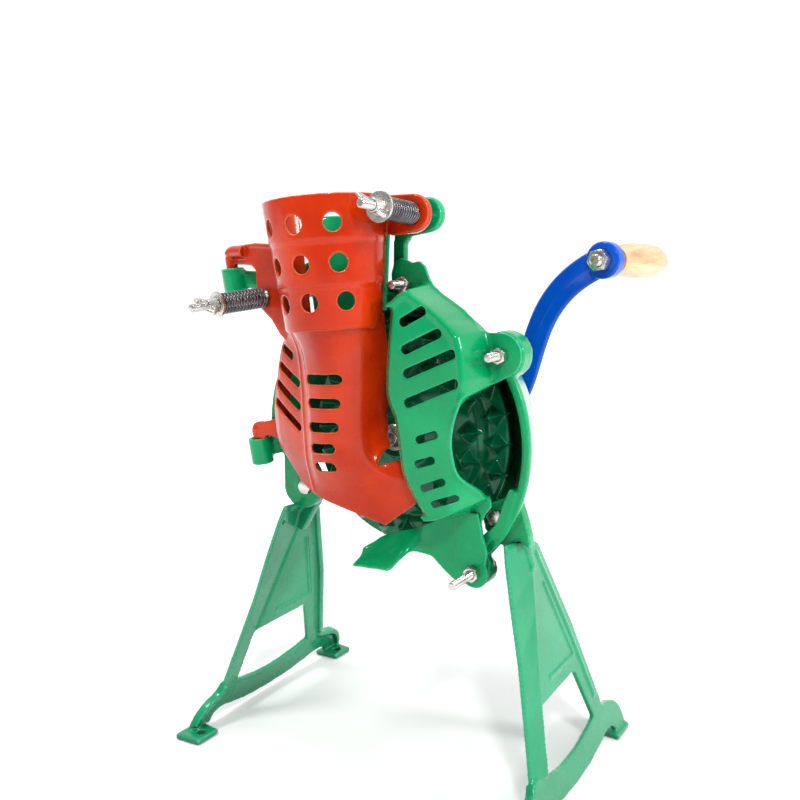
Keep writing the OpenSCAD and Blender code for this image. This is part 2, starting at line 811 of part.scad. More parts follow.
module right_spring_washer() {
    color(zinc) translate(right_bolt_place) washer_y(0, 0, washer_y0, washer_y1, 13, bolt_r + fit_gap);
}

module right_wing_nut() {
    color(zinc) translate(right_bolt_place) rotate([0, 35, 0]) wing_nut_shape(wing_y0, washer_y0);
}

module left_spring_bolt() {
    color(zinc) at_left_bolt() {
        bar_y(0, 0, -spring_length - 34, left_boss_end, bolt_r);
        hex_y(0, 0, left_boss_end, left_boss_end + 6, 13);
    }
}

module left_spring() {
    color(black) at_left_bolt() translate([0, -flange_t / 2 - 2, 0]) coil_spring(-spring_length, 0);
}

module left_spring_washer() {
    color(zinc) at_left_bolt() translate([0, -flange_t / 2 - 2, 0])
        washer_y(0, 0, washer_y0, washer_y1, 12, bolt_r + fit_gap);
}

module left_wing_nut() {
    color(zinc) at_left_bolt() translate([0, -flange_t / 2 - 2, 0]) rotate([0, 20, 0])
        wing_nut_shape(wing_y0, washer_y0);
}

body_casting();
shaft_bushes();
rotor_disc();
main_shaft();
rotor_key();
thrust_washer();
shaft_front_washer();
shaft_front_nut();
crank_spacer();
crank_arm();
crank_key();
crank_washer();
crank_nut();
knob_spindle();
spindle_nut();
knob_ferrule();
wooden_knob();
chute();
guard();
guard_studs();
guard_nuts();
kernel_deflector();
left_leg();
right_leg();
leg_bolts();
leg_washers();
leg_nuts();
right_spring_bolt();
right_spring();
right_spring_washer();
right_wing_nut();
left_spring_bolt();
left_spring();
left_spring_washer();
left_wing_nut();
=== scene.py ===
"""Looks of the hand corn sheller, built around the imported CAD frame.

Sizes are in millimetres in the CAD frame, and become metres when a mesh is made. Angles are in degrees.
"""
import math

import bmesh
import bpy
import numpy as np
from mathutils import Matrix, Vector


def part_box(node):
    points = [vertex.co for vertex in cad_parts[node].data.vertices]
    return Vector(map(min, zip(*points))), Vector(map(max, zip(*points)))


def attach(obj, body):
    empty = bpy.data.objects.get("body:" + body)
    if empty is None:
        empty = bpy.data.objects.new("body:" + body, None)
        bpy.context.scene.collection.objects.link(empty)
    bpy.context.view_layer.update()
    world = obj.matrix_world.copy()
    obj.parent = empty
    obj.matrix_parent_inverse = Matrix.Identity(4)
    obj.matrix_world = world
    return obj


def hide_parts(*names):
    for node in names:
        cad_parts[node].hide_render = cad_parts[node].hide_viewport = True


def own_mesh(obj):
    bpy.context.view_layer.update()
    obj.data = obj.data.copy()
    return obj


MM = 0.001
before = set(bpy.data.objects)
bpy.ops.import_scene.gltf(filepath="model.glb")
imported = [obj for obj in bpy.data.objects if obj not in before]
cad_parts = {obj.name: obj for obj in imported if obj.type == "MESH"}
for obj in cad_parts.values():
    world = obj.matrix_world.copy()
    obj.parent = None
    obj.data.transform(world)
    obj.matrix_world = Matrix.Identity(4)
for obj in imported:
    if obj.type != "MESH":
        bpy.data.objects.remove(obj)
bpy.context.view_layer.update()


def node_mm(node):
    """The lowest and highest corners of a CAD node, in millimetres."""
    low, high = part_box(node)
    return np.array(low) / MM, np.array(high) / MM


# ---------- driving sizes

shaft_low, shaft_high = node_mm("main_shaft")
AXIS_Z = (shaft_low[2] + shaft_high[2]) / 2

DISH_R = 145
DISH_WALL = 6
DISH_FRONT_Y = -32
DISH_BACK_Y = 38
DISH_BACK_R = 124
STUD_CIRCLE_R = 150
STUD_ANGLES = (80.5, 35.6, -49)
STUD_TIPS_Y = (-66, -68, -83)
STUD_R = 4
LUG_Y = -39
GUARD_FACE_Y = -80
PLATE_T = 3
PLAY = 0.3  # between a bore and what goes through it
TIP_R = 0.05  # closes a turned end
ROTOR_R = 112
OUTER_TEETH = 24
INNER_TEETH = 17

HINGE_LOW = np.array([-153.0, -40.0, 293.0])
HINGE_HIGH = np.array([-168.0, -58.0, 470.0])
HINGE_LENGTH = np.linalg.norm(HINGE_HIGH - HINGE_LOW)
HINGE = (HINGE_HIGH - HINGE_LOW) / HINGE_LENGTH
PIN_R = 6
SOCKET_R = 11.5

HOPPER_FOOT = np.array([-27.0, -80.0, 425.0])
HOPPER_LEAN = 4.44
HOPPER_H = 116
HOPPER_LOW_R = 44.5
HOPPER_TOP_R = 57
CHUTE_WALL = 3

RIGHT_BOLT = (44.0, -62.0, 528.0)
RIGHT_BOLT_XZ = RIGHT_BOLT[::2]
BOLT_R = 4
FLANGE_TURN = -15
LEFT_BOLT_PLACE = (56, 453)  # along the flange and up
LEFT_BOLT_TILT = 6
RIGHT_BOLT_TILT = 3
SPRING_LENGTH = 50
SPRING_R = 10
SPRING_WIRE_R = 1.2
SPRING_TURNS = 13
THREAD_PITCH = 1.25

CRANK_REACH = (165, 170)
EYE_Y = 97
KNOB_SPLAY = 8
KNOB_START = 9
KNOB_END = KNOB_START + 112

LEG_FOOT_X = 192
LEG_LEAN = 14.57
FOOT_HOLE = (175, 119)
LEG_BOLT = (110, 254)


# ---------- solids as (points, faces)

def joined(*solids):
    """Several solids as one, not fused."""
    points, faces = [], []
    for solid_points, solid_faces in solids:
        start = sum(len(p) for p in points)
        points.append(np.asarray(solid_points, float))
        faces += [tuple(i + start for i in f) for f in solid_faces]
    return np.vstack(points), faces


def placed(solid, matrix):
    """The solid moved by a 4 x 4 matrix."""
    m = np.array(matrix)
    points = np.asarray(solid[0], float)
    return points @ m[:3, :3].T + m[:3, 3], solid[1]


def mirrored(solid):
    """The solid mirrored left to right."""
    return np.asarray(solid[0], float) * (-1, 1, 1), [f[::-1] for f in solid[1]]


def turn(axis, degrees):
    return Matrix.Rotation(math.radians(degrees), 4, axis)


def shift(place):
    return Matrix.Translation(Vector(place))


def loft(rings, loop=False):
    """Joins rings of equal length. The two end rings are closed, or with loop the last joins the first."""
    n = len(rings[0])
    points = np.vstack([np.asarray(r, float) for r in rings])
    faces = []
    spans = len(rings) if loop else len(rings) - 1
    for k in range(spans):
        a, b = k * n, (k + 1) % len(rings) * n
        faces += [(a + i, a + (i + 1) % n, b + (i + 1) % n, b + i) for i in range(n)]
    if not loop:
        faces += [tuple(range(n - 1, -1, -1)), tuple(range(len(points) - n, len(points)))]
    return points, faces


def prism(outline, y0, y1):
    """A flat outline of (x, z) points, given depth from y0 to y1."""
    outline = np.asarray(outline, float)
    return loft([np.insert(outline, 1, y, axis=1) for y in (y0, y1)])


def ring(r, y, a, x=0.0, z=0.0):
    """Points at the angles a round the line along Y through (x, z)."""
    return np.column_stack([x + r * np.cos(a), np.broadcast_to(y, len(a)), z + r * np.sin(a)])


def circle(r, n, y=0.0, x=0.0, z=0.0):
    return ring(r, y, np.linspace(0, 2 * np.pi, n, endpoint=False), x, z)


def spun(profile, n=64, centre=(0, 0), closed=False):
    """Turns a profile of (r, y) about the line along Y through centre (x, z)."""
    rings = [circle(max(r, 0.01), n, y, *centre) for r, y in profile]
    return loft(rings, loop=closed)


def cylinder(r, y0, y1, centre=(0, 0), n=24):
    return spun([(r, y0), (r, y1)], n, centre)


def toward(a, b):
    """A matrix that takes the Y axis to the line from a to b."""
    heading = Vector(b) - Vector(a)
    return shift(a) @ Vector((0, 1, 0)).rotation_difference(heading).to_matrix().to_4x4()


def rod(a, b, r0, r1=None, n=32):
    """A round bar from a to b, whose radius goes from r0 to r1."""
    length = np.linalg.norm(np.subtract(b, a))
    return placed(spun([(r0, 0), (r0 if r1 is None else r1, length)], n), toward(a, b))


def swept(path, r, n=16):
    """A round bar that follows a path of points."""
    path = np.asarray(path, float)
    along = np.gradient(path, axis=0)
    along /= np.linalg.norm(along, axis=1)[:, None]
    side = np.cross(along, (0.0, 0.0, 1.0))
    side /= np.maximum(np.linalg.norm(side, axis=1), 1e-6)[:, None]
    up = np.cross(side, along)
    a = np.linspace(0, 2 * np.pi, n, endpoint=False)
    radii = np.full(len(path), float(r)) if np.isscalar(r) else np.asarray(r, float)
    return loft([p + q * (np.outer(np.cos(a), s) + np.outer(np.sin(a), u))
                 for p, s, u, q in zip(path, side, up, radii)])


def hull(points, r=0.0):
    """The convex hull of balls of radius r at these points."""
    cloud = np.asarray(points, float)
    if r:
        tilts = np.linspace(-1.57, 1.57, 9)
        ball = np.vstack([circle(r * math.cos(t), 16, r * math.sin(t)) for t in tilts])
        cloud = (cloud[:, None, :] + ball[None, :, :]).reshape(-1, 3)
    bm = bmesh.new()
    for p in cloud:
        bm.verts.new(p)
    bmesh.ops.convex_hull(bm, input=bm.verts)
    bmesh.ops.delete(bm, geom=[v for v in bm.verts if not v.link_faces], context="VERTS")  # inside the hull
    bm.verts.index_update()
    solid = np.array([v.co for v in bm.verts]), [tuple(v.index for v in f.verts) for f in bm.faces]
    bm.free()
    return solid


def arc(x, z, r, a0, a1, n=8):
    """Points (x, z) of an arc between two angles in degrees."""
    return [(x + r * math.cos(a), z + r * math.sin(a)) for a in np.radians(np.linspace(a0, a1, n))]


def slot_outline(a, b, r):
    """A slot with round ends between two (x, z) points."""
    heading = math.degrees(math.atan2(b[1] - a[1], b[0] - a[0]))
    return arc(*a, r, heading + 90, heading + 270) + arc(*b, r, heading - 90, heading + 90)


def smooth_outline(points, per_side=5, loop=True):
    """A rounded curve through the points (Catmull-Rom)."""
    points = np.asarray(points, float)
    n = len(points)
    out = []
    for i in range(n if loop else n - 1):
        picks = [(i + k) % n if loop else min(max(i + k, 0), n - 1) for k in (-1, 0, 1, 2)]
        p0, p1, p2, p3 = points[picks]
        for t in np.arange(per_side) / per_side:
            out.append(0.5 * (2 * p1 + (p2 - p0) * t + (2 * p0 - 5 * p1 + 4 * p2 - p3) * t ** 2
                              + (3 * p1 - p0 - 3 * p2 + p3) * t ** 3))
    if not loop:
        out.append(points[-1])
    return np.array(out)


def curve(points, per_side=4):
    """An open rounded curve, as tuples that can join an outline."""
    return [tuple(point) for point in smooth_outline(points, per_side, loop=False)]


def thickened(sheet, thickness):
    """A solid from a grid of points, given thickness along its normals towards +Y."""
    normal = np.cross(np.gradient(sheet, axis=1), np.gradient(sheet, axis=0))
    normal /= np.linalg.norm(normal, axis=2)[..., None]
    if normal[len(sheet) // 2, sheet.shape[1] // 2][1] < 0:
        normal = -normal
    back = sheet + normal * thickness
    return loft([np.vstack([front, rear[::-1]]) for front, rear in zip(sheet, back)])


def smoothstep(x, low, high):
    t = np.clip((x - low) / (high - low), 0, 1)
    return t * t * (3 - 2 * t)


# ---------- meshes

def make_object(name, *solids):
    points, faces = joined(*solids)
    mesh = bpy.data.meshes.new(name)
    mesh.from_pydata((points * MM).tolist(), [], faces)
    bm = bmesh.new()
    bm.from_mesh(mesh)
    bmesh.ops.recalc_face_normals(bm, faces=bm.faces)
    bm.to_mesh(mesh)
    bm.free()
    obj = bpy.data.objects.new(name, mesh)
    bpy.context.scene.collection.objects.link(obj)
    return obj


def settle(obj):
    """Applies the object's modifiers."""
    depsgraph = bpy.context.evaluated_depsgraph_get()
    mesh = bpy.data.meshes.new_from_object(obj.evaluated_get(depsgraph))
    obj.modifiers.clear()
    obj.data = mesh
    return obj


def remeshed(obj, voxel):
    modifier = obj.modifiers.new("voxels", "REMESH")
    modifier.mode = "VOXEL"
    modifier.voxel_size = voxel * MM
    return settle(obj)


def solid_of(obj):
    """Takes a mesh object apart again into (points, faces), in millimetres."""
    points = np.array([v.co for v in obj.data.vertices]) / MM
    faces = [tuple(p.vertices) for p in obj.data.polygons]
    bpy.data.objects.remove(obj)
    return points, faces


def combined(operation, solid, *others):
    """The difference or intersection of one solid with others."""
    return solid_of(boolean(make_object("solid", solid), operation, *others))


def boolean(obj, operation, *solids):
    other = make_object("other", *solids)
    modifier = obj.modifiers.new("cut", "BOOLEAN")
    modifier.solver = "MANIFOLD"
    modifier.operation = operation
    modifier.object = other
    settle(obj)
    bpy.data.objects.remove(other)
    return obj


def cast(name, solids, *cuts, voxel=1.0, smooth=5):
    """Fuses overlapping solids into one casting with soft edges, less each group of separate cuts."""
    obj = make_object(name, *solids)
    if len(solids) > 1:
        remeshed(obj, voxel)
    for group in cuts:
        boolean(obj, "DIFFERENCE", *group)
    if cuts:
        remeshed(obj, voxel)
    if smooth:
        modifier = obj.modifiers.new("soften", "SMOOTH")
        modifier.factor = 0.5
        modifier.iterations = smooth
        settle(obj)
    obj.data.shade_smooth()
    return obj


def machined(name, *solids, angle=35):
    """Solids kept with crisp edges."""
    obj = make_object(name, *solids)
    obj.data.shade_smooth()
    obj.data.set_sharp_from_angle(angle=math.radians(angle))
    return obj


def finish_piece(obj, material, body, node):
    """Paints a piece, says what it rides on, and hides the CAD node that it stands for."""
    obj.data.materials.clear()
    obj.data.materials.append(material)
    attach(obj, body)
    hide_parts(node)


def zinc_piece(name, body, *solids, node=None):
    """A plated fastener. Its node has the same name, with underscores, unless node says otherwise."""
    finish_piece(machined(name, *solids), ZINC, body, node or name.replace("-", "_"))


# ---------- materials

class Shader:
    """A node material, built by short calls."""

    def __init__(self, name):
        self.material = bpy.data.materials.new(name)
        self.material.use_nodes = True
        self.tree = self.material.node_tree
        self.surface = self.tree.nodes["Principled BSDF"]
        self.place = self.node("ShaderNodeTexCoord").outputs["Object"]

    def node(self, kind, **settings):
        node = self.tree.nodes.new(kind)
        for key, value in settings.items():
            setattr(node, key, value)
        return node

    def feed(self, node, **values):
        """Sets or links a node's inputs. An underscore stands for a space."""
        for key, value in values.items():
            target = node.inputs[key.replace("_", " ")]
            if isinstance(value, bpy.types.NodeSocket):
                self.tree.links.new(value, target)
            else:
                target.default_value = value
        return node

    def set(self, **values):
        self.feed(self.surface, **values)

    def noise(self, scale, detail=4.0, roughness=0.55, stretch=(1, 1, 1)):
        mapping = self.feed(self.node("ShaderNodeMapping"), Vector=self.place, Scale=stretch)
        node = self.feed(self.node("ShaderNodeTexNoise"), Vector=mapping.outputs["Vector"], Scale=scale,
                         Detail=detail, Roughness=roughness)
        return node.outputs["Fac"]

    def ramp(self, value, *stops):
        """Maps a value through (position, colour or grey) stops."""
        node = self.feed(self.node("ShaderNodeValToRGB"), Fac=value)
        elements = node.color_ramp.elements
        while len(elements) < len(stops):
            elements.new(0.5)
        for element, (position, colour) in zip(elements, stops):
            element.position = position
            element.color = (colour,) * 3 + (1,) if np.isscalar(colour) else (*colour, 1)
        return node.outputs["Color"]

    def mix(self, amount, a, b):
        """Mixes two colours, each a value or a socket, by the socket amount."""
        node = self.node("ShaderNodeMix", data_type="RGBA")
        for value, target in zip((amount, a, b), (node.inputs[0], node.inputs[6], node.inputs[7])):
            if isinstance(value, bpy.types.NodeSocket):
                self.tree.links.new(value, target)
            else:
                target.default_value = (*value, 1)
        return node.outputs[2]

    def bump(self, *layers):
        """Each layer is (height, strength, distance in mm)."""
        last = {}
        for height, strength, distance in layers:
            node = self.feed(self.node("ShaderNodeBump"), Height=height, Strength=strength,
                             Distance=distance * MM, **last)
            last = {"Normal": node.outputs["Normal"]}
        self.set(**last)

    def edges(self, low, high):
        """1 on convex edges, from the mesh's own curvature; enamel() paints a highlight there."""
        return self.ramp(self.node("ShaderNodeNewGeometry").outputs["Pointiness"], (low, 0.0), (high, 1.0))


def enamel(name, colour, dark_tone_and_shade, edge_highlight, tint, roughness=0.22):
    """Thick glossy enamel on an uneven casting, with a random darker tone, a painted highlight that lightens
    convex edges, and painted shade that darkens hollows.
    """
    shader = Shader(name)
    tone = shader.mix(shader.ramp(shader.noise(14), (0.35, 0.0), (0.7, 1.0)), colour, dark_tone_and_shade)
    # painted highlight: convex edges are mixed towards a lighter colour
    edge = shader.edges(0.52, 0.6)
    # painted shade: where ambient occlusion finds hollows and tight spaces, the colour is mixed towards a
    # dark copy of the enamel
    hollow = shader.feed(shader.node("ShaderNodeAmbientOcclusion", samples=6), Distance=0.07)
    painted_shade_mask = shader.ramp(hollow.outputs["AO"], (0.1, 0.0), (0.75, 1.0))
    skin = shader.mix(edge, tone, edge_highlight)
    gloss = shader.ramp(shader.noise(45, 6), (0.3, roughness * 0.8), (0.75, roughness * 1.7))
    paint = shader.mix(painted_shade_mask, [c * 0.22 for c in dark_tone_and_shade], skin)
    shader.set(Base_Color=paint, Roughness=gloss, Metallic=0.0, Specular_IOR_Level=0.25,
               Specular_Tint=(*tint, 1), Coat_Weight=0.5, Coat_Roughness=0.08, Coat_IOR=1.42)
    shader.bump((shader.noise(32, 2), 0.26, 2.0), (shader.noise(300, 3), 0.05, 0.2))
    return shader.material


def metal(name, colour, dark, roughness=0.3, brush=(1, 1, 1)):
    shader = Shader(name)
    grain = shader.noise(500, 5, 0.6, brush)
    stain = shader.ramp(shader.noise(70, 5), (0.45, 0.0), (0.75, 1.0))
    polish = shader.ramp(grain, (0.3, roughness * 0.7), (0.7, roughness * 1.5))
    shader.set(Base_Color=shader.mix(stain, colour, dark), Metallic=1.0, Roughness=polish)
    shader.bump((grain, 0.15, 0.15))
    return shader.material


def turned_wood(name):
    """Pale turned wood, with grain along Y, darker pores and a thin varnish."""
    shader = Shader(name)
    grain = shader.noise(60, 8, 0.65, (1, 0.09, 1))
    pores = shader.noise(420, 3, 0.5, (1, 0.06, 1))
    tone = shader.ramp(grain, (0.3, (0.4, 0.25, 0.11)), (0.48, (0.58, 0.42, 0.24)),
                       (0.66, (0.68, 0.54, 0.36)))
    colour = shader.mix(shader.ramp(pores, (0.62, 0.0), (0.72, 0.55)), tone, (0.42, 0.26, 0.12))
    shader.set(Base_Color=colour, Roughness=shader.ramp(grain, (0.3, 0.5), (0.7, 0.36)), Coat_Weight=0.15)
    shader.bump((pores, 0.2, 0.2), (grain, 0.12, 0.5))
    return shader.material


FLOOR_SHIFT = 2  # metres that the floor's middle lies behind the machine


def floor_material():
    """A white floor that fades into the bright backdrop away from the machine."""
    shader = Shader("pale floor")
    distance = shader.feed(shader.node("ShaderNodeVectorMath", operation="DISTANCE"), Vector=shader.place)
    distance.inputs[1].default_value = (0, -FLOOR_SHIFT, 0)
    glow = shader.feed(shader.node("ShaderNodeMapRange", interpolation_type="SMOOTHSTEP"),
                       Value=distance.outputs["Value"], From_Min=0.45, From_Max=1.5)
    shader.set(Base_Color=shader.ramp(shader.noise(3), (0.3, 0.86), (0.7, 0.9)), Roughness=0.6,
               Emission_Color=(1, 1, 1, 1), Emission_Strength=glow.outputs["Result"])
    shader.bump((shader.noise(90), 0.02, 0.5))
    return shader.material


GREEN = enamel("green enamel", (0.0, 0.3, 0.1), (0.0, 0.22, 0.07), (0.08, 0.58, 0.34), (0.15, 1.0, 0.6))
# The disc's enamel is a darker copy of the green, as painted shade for the disc inside the dish.
DISC_GREEN = enamel("disc enamel", (0.0, 0.15, 0.055), (0.0, 0.09, 0.035), (0.03, 0.34, 0.17),
                    (0.3, 1.0, 0.6), 0.16)
RED = enamel("red enamel", (0.52, 0.03, 0.001), (0.36, 0.01, 0.0005), (0.85, 0.28, 0.13), (1.0, 0.3, 0.12))
# The legs' enamel is a paler copy of the green, a painted sheen for their hazier reflection.
LEG_GREEN = enamel("leg enamel", (0.01, 0.29, 0.13), (0.005, 0.22, 0.09), (0.14, 0.55, 0.36),
                   (0.4, 1.0, 0.75))
BLUE = enamel("blue enamel", (0.0, 0.075, 0.5), (0.0, 0.045, 0.36), (0.05, 0.22, 0.75), (0.3, 0.5, 1.0))
ZINC = metal("zinc", (0.62, 0.61, 0.57), (0.36, 0.35, 0.32), 0.28)
STEEL = metal("turned steel", (0.4, 0.4, 0.41), (0.22, 0.21, 0.21), 0.3, (1, 12, 1))
SPRING = metal("spring wire", (0.16, 0.15, 0.16), (0.07, 0.06, 0.07), 0.32)
BRONZE = metal("bearing bronze", (0.6, 0.4, 0.18), (0.35, 0.22, 0.1), 0.35)
COPPER = metal("ferrule", (0.3, 0.13, 0.06), (0.16, 0.07, 0.04), 0.38)
WOOD = turned_wood("knob wood")


# ---------- fasteners

def hexagon(flats, phase=0.0, n=48):
    """The angles round a hexagon, its radius at each, and how far its turned chamfer drops there."""
    a = np.arange(n) * 2 * np.pi / n
    corner = (flats / 2) / np.cos(a % (np.pi / 3) - np.pi / 6)
    return a + phase, corner, (corner - flats / 2) * 0.6 + 0.15


def nut(x, z, y0, y1, flats, bore, phase=0.0):
    """A hexagon nut along Y, with turned chamfers."""
    a, corner, drop = hexagon(flats, phase)
    face = flats / 2 - 0.2
    rows = ((bore + 0.6, y0), (face, y0), (corner, y0 + drop), (corner, y1 - drop), (face, y1),
            (bore + 0.6, y1), (bore, y1 - 0.6), (bore, y0 + 0.6))
    return loft([ring(r, y, a, x, z) for r, y in rows], loop=True)


def bolt_head(x, z, y0, y1, flats):
    """A hexagon head along Y, with its chamfer at y0."""
    a, corner, drop = hexagon(flats)
    rows = ((TIP_R, y0), (flats / 2 - 0.3, y0), (corner, y0 + drop), (corner, y1), (TIP_R, y1))
    return loft([ring(r, y, a, x, z) for r, y in rows])


def washer(x, z, y0, y1, r_out, r_in, n=48):
    edge = min(0.35, (y1 - y0) / 4)
    profile = [(r_in, y0), (r_out - edge, y0), (r_out, y0 + edge), (r_out, y1 - edge), (r_out - edge, y1),
               (r_in, y1)]
    return spun(profile, n, (x, z), closed=True)


def threaded(x, z, y0, y1, r, pitch=THREAD_PITCH, n=24):
    """A threaded bar along Y. Its crests stay inside r, and both ends are chamfered."""
    steps = max(8, int((y1 - y0) / pitch * 6))
    a = np.arange(n) * 2 * np.pi / n
    rings = [circle(TIP_R, n, y0, x, z)]
    for y in np.linspace(y0, y1, steps):
        wave = np.abs(((y - y0) / pitch - a / (2 * np.pi)) % 1 - 0.5) * 2
        end = np.clip(min(y - y0, y1 - y) / 1.0, 0, 1)
        radius = (r - 0.55 * pitch * (1 - wave)) * (0.8 + 0.2 * end)
        rings.append(ring(radius, y, a, x, z))
    return loft(rings + [circle(TIP_R, n, y1, x, z)])


def coil(y0, y1, n=8, per_turn=28, end_rise=0.035):
    """A close-wound spring along Y. Its end turns lie flat, and each rises by only end_rise of the length."""
    t = np.linspace(0, 1, SPRING_TURNS * per_turn)
    flat = 1 / SPRING_TURNS * 0.6
    rise = np.clip((t - flat) / (1 - 2 * flat), 0, 1) * (1 - 2 * end_rise)
    rise += end_rise * (np.clip(t / flat, 0, 1) + np.clip((t - 1 + flat) / flat, 0, 1))
    y = y0 + SPRING_WIRE_R + (y1 - y0 - 2 * SPRING_WIRE_R) * np.clip(rise, 0, 1)
    a = 2 * np.pi * SPRING_TURNS * t
    path = ring(SPRING_R - SPRING_WIRE_R, y, a)
    rings = []
    for point, b in zip(path, a):
        out = np.array([math.cos(b), 0, math.sin(b)])
        round_wire = np.arange(n) * 2 * np.pi / n
        rings.append([point + SPRING_WIRE_R * (math.cos(w) * out + math.sin(w) * np.array([0, 1, 0]))
                      for w in round_wire])
    return loft(rings)


def wing_nut_solids(y0, y1):
    """A wing nut whose base is at y1 and whose two wings lean towards -Y."""
    hub = spun([(4.6, y0), (5.6, y0), (7.5, y1 - 1.5), (7.5, y1)], 40)
    wings = []
    for side in (-1, 1):
        wings.append(hull([(side * 6, y1 - 3, 0), (side * 13, y0 + 3, 0), (side * 6, y0 + 3, 0)], 1.9))
        wings.append(hull([(side * 13, y0 + 2, 0), (side * 16, y0 - 2, 0), (side * 11, y0 - 4, 0)], 2.1))
    return [hub] + wings


# ---------- frames of the bolts, the hopper, the crank's eye and the hinge

FLANGE = shift(HINGE_HIGH * (1, 1, 0)) @ turn("Z", FLANGE_TURN)
LEFT_BOLT = FLANGE @ shift((LEFT_BOLT_PLACE[0], 0, LEFT_BOLT_PLACE[1])) @ turn("X", LEFT_BOLT_TILT)
RIGHT_BOLT_FRAME = shift(RIGHT_BOLT) @ turn("X", -RIGHT_BOLT_TILT)
HOPPER = shift(HOPPER_FOOT) @ turn("Y", -HOPPER_LEAN)
EYE_FRAME = shift((CRANK_REACH[0], EYE_Y, AXIS_Z + CRANK_REACH[1])) @ turn("Z", -KNOB_SPLAY)


def stud_xz(i):
    a = math.radians(STUD_ANGLES[i])
    return STUD_CIRCLE_R * math.cos(a), AXIS_Z + STUD_CIRCLE_R * math.sin(a)


def stud_bore(i, y0=-60, y1=-20):
    return cylinder(STUD_R + PLAY, y0, y1, stud_xz(i))


def on_hinge(h):
    """The point h along the chute's hinge line, measured from its lower pin."""
    return HINGE_LOW + h * HINGE


def hinge_rod(h0, h1, r0, r1=None, n=40):
    return rod(on_hinge(h0), on_hinge(h1), r0, r1, n)


# ---------- body casting

def sector(a0, a1, r, n=10):
    return [(0, AXIS_Z)] + arc(0, AXIS_Z, r, a0, a1, n)


def dish_solids():
    """The dish and its four tapering ribs round the bearing."""
    lip_r = DISH_R - DISH_WALL
    profile = [(12, 26.1), (26, 26.1), (30, 32), (DISH_BACK_R - 12, 32), (DISH_BACK_R - 7, 29),
               (lip_r, DISH_FRONT_Y + 1.5), (lip_r + 1.5, DISH_FRONT_Y), (DISH_R + 1, DISH_FRONT_Y),
               (DISH_R + 2, DISH_FRONT_Y + 2), (DISH_R + 1.5, DISH_FRONT_Y + 8),
               (DISH_R - 1.5, DISH_FRONT_Y + 11), (DISH_BACK_R + 1, DISH_BACK_Y - 4),
               (DISH_BACK_R - 4, DISH_BACK_Y), (42, DISH_BACK_Y), (27, 48), (24, 80), (22, 84), (12, 84)]
    end = DISH_BACK_R - 8
    rib = prism([(22, -3), (end, -3), (end, 3), (22, 3)], 33, 43)
    taper = hull([(x, y, side * half) for side in (-1, 1)
                  for x, y, half in ((22, 33, 3), (22, 70, 2.4), (end, 33, 3), (end - 2, 43, 2.4))])
    ribs = [placed(solid, shift((0, 0, AXIS_Z)) @ turn("Y", -angle))
            for angle in (20, 80, 140, 200) for solid in (rib, taper)]
    return [spun(profile, 128, (0, AXIS_Z), closed=True)] + ribs


def leg_lug_solids(tall):
    """The lug that a leg is bolted to, with a raised pad round its bolt (drawn on the left)."""
    x, z = -LEG_BOLT[0], LEG_BOLT[1]
    if tall:
        outline = [(-139, 254), (-140, 290), (-131, 312), (-118, 312), (-112, 292), (-97, 272), (-92, 254)]
        outline += arc(x - 6, z, 24, -20, -170, 14)
    else:
        outline = [(-131, 275), (-136, 262), (-140, 250), (-143, 240), (-144.5, 228.5), (-133, 234.5),
                   (-126, 231), (-118, 227.5), (-107, 231), (-98, 242), (-97, 256), (-108, 268), (-120, 274)]
    return [prism(outline, -20, -8), spun([(13, -21.2), (15, -19)], 40, (x, z))]


def stud_lug_solids():
    parts = []
    for i, radius in enumerate((14, 21, 14)):
        front = LUG_Y + PLATE_T if i == 2 else LUG_Y
        parts.append(spun([(radius - 1, front), (radius, front + 1), (radius + 0.5, -20)], 40, stud_xz(i)))
    rim = curve([(136, 283), (132.5, 273), (129, 261), (127.5, 251), (120, 243.5), (112, 237), (107, 231),
                 (106, 225), (109.5, 219), (112.5, 213), (111, 205)])
    inside = [(92, 205), (94, 222), (99, 235), (107, 243), (115, 250), (120, 262), (124, 275), (129, 286)]
    return parts + [prism(rim + inside, -34, -26)]


def bolt_arm_solids():
    """The upper right ear with its arm, and the boss that the left spring bolt goes through."""
    ear = spun([(15, -38), (16, -37), (16, -29), (15, -28)], 48, RIGHT_BOLT_XZ)
    arm = prism([(9, 468), (10, 505), (16, 543), (44, 544), (46, 512), (27, 509), (22, 502), (22, 470)],
                -38, -30)
    root = hull([(12, -34, 470), (15, -34, 500), (12, -22, 468), (15, -27, 500)], 2.5)
    return [ear, arm, root, placed(spun([(9, 24), (10, 25), (10, 45), (9, 46)], 40), LEFT_BOLT)]


def socket_solids():
    """The two hinge sockets and the arms that hold them."""
    elbow = [(-112, -44, 460), (-112, -44, 472)]
    return [hull([(-158, -50, 465), (-158, -50, 474)] + elbow, 4.5),
            hull(elbow + [(-84, -36, 470), (-84, -36, 484)], 4.5),
            hull([(-112, -44, 448), (-112, -44, 462), (-98, -26, 418), (-98, -26, 428)], 4.5),
            hull([(-147, -34, 289), (-147, -34, 300), (-136, -14, 291), (-136, -14, 303)], 3.2),
            hinge_rod(-15, 13, SOCKET_R, SOCKET_R + 0.5),
            hinge_rod(HINGE_LENGTH - 13, HINGE_LENGTH + 11, SOCKET_R)]


def cone_wall(rows, middle, spread, n):
    """A curved wall round the hopper's axis. Each row is its height, outer radius and inner radius."""
    angles = np.radians(np.linspace(middle - spread, middle + spread, n))
    rings = []
    for h, outer, inner in rows:
        rings.append([(outer * math.cos(a), outer * math.sin(a), h) for a in angles]
                     + [(inner * math.cos(a), inner * math.sin(a), h) for a in angles[::-1]])
    return placed(loft(rings), HOPPER)


def back_shell_solid():
    """The green half shell behind the chute's open back."""
    rows = [(14 + t * (HOPPER_H - 22), HOPPER_LOW_R + 4.5 + t * (HOPPER_TOP_R - HOPPER_LOW_R - 2.5),
             HOPPER_LOW_R - 1 + t * (HOPPER_TOP_R - HOPPER_LOW_R - 2)) for t in np.linspace(0, 1, 12)]
    return cone_wall(rows, 90, 59, 28)


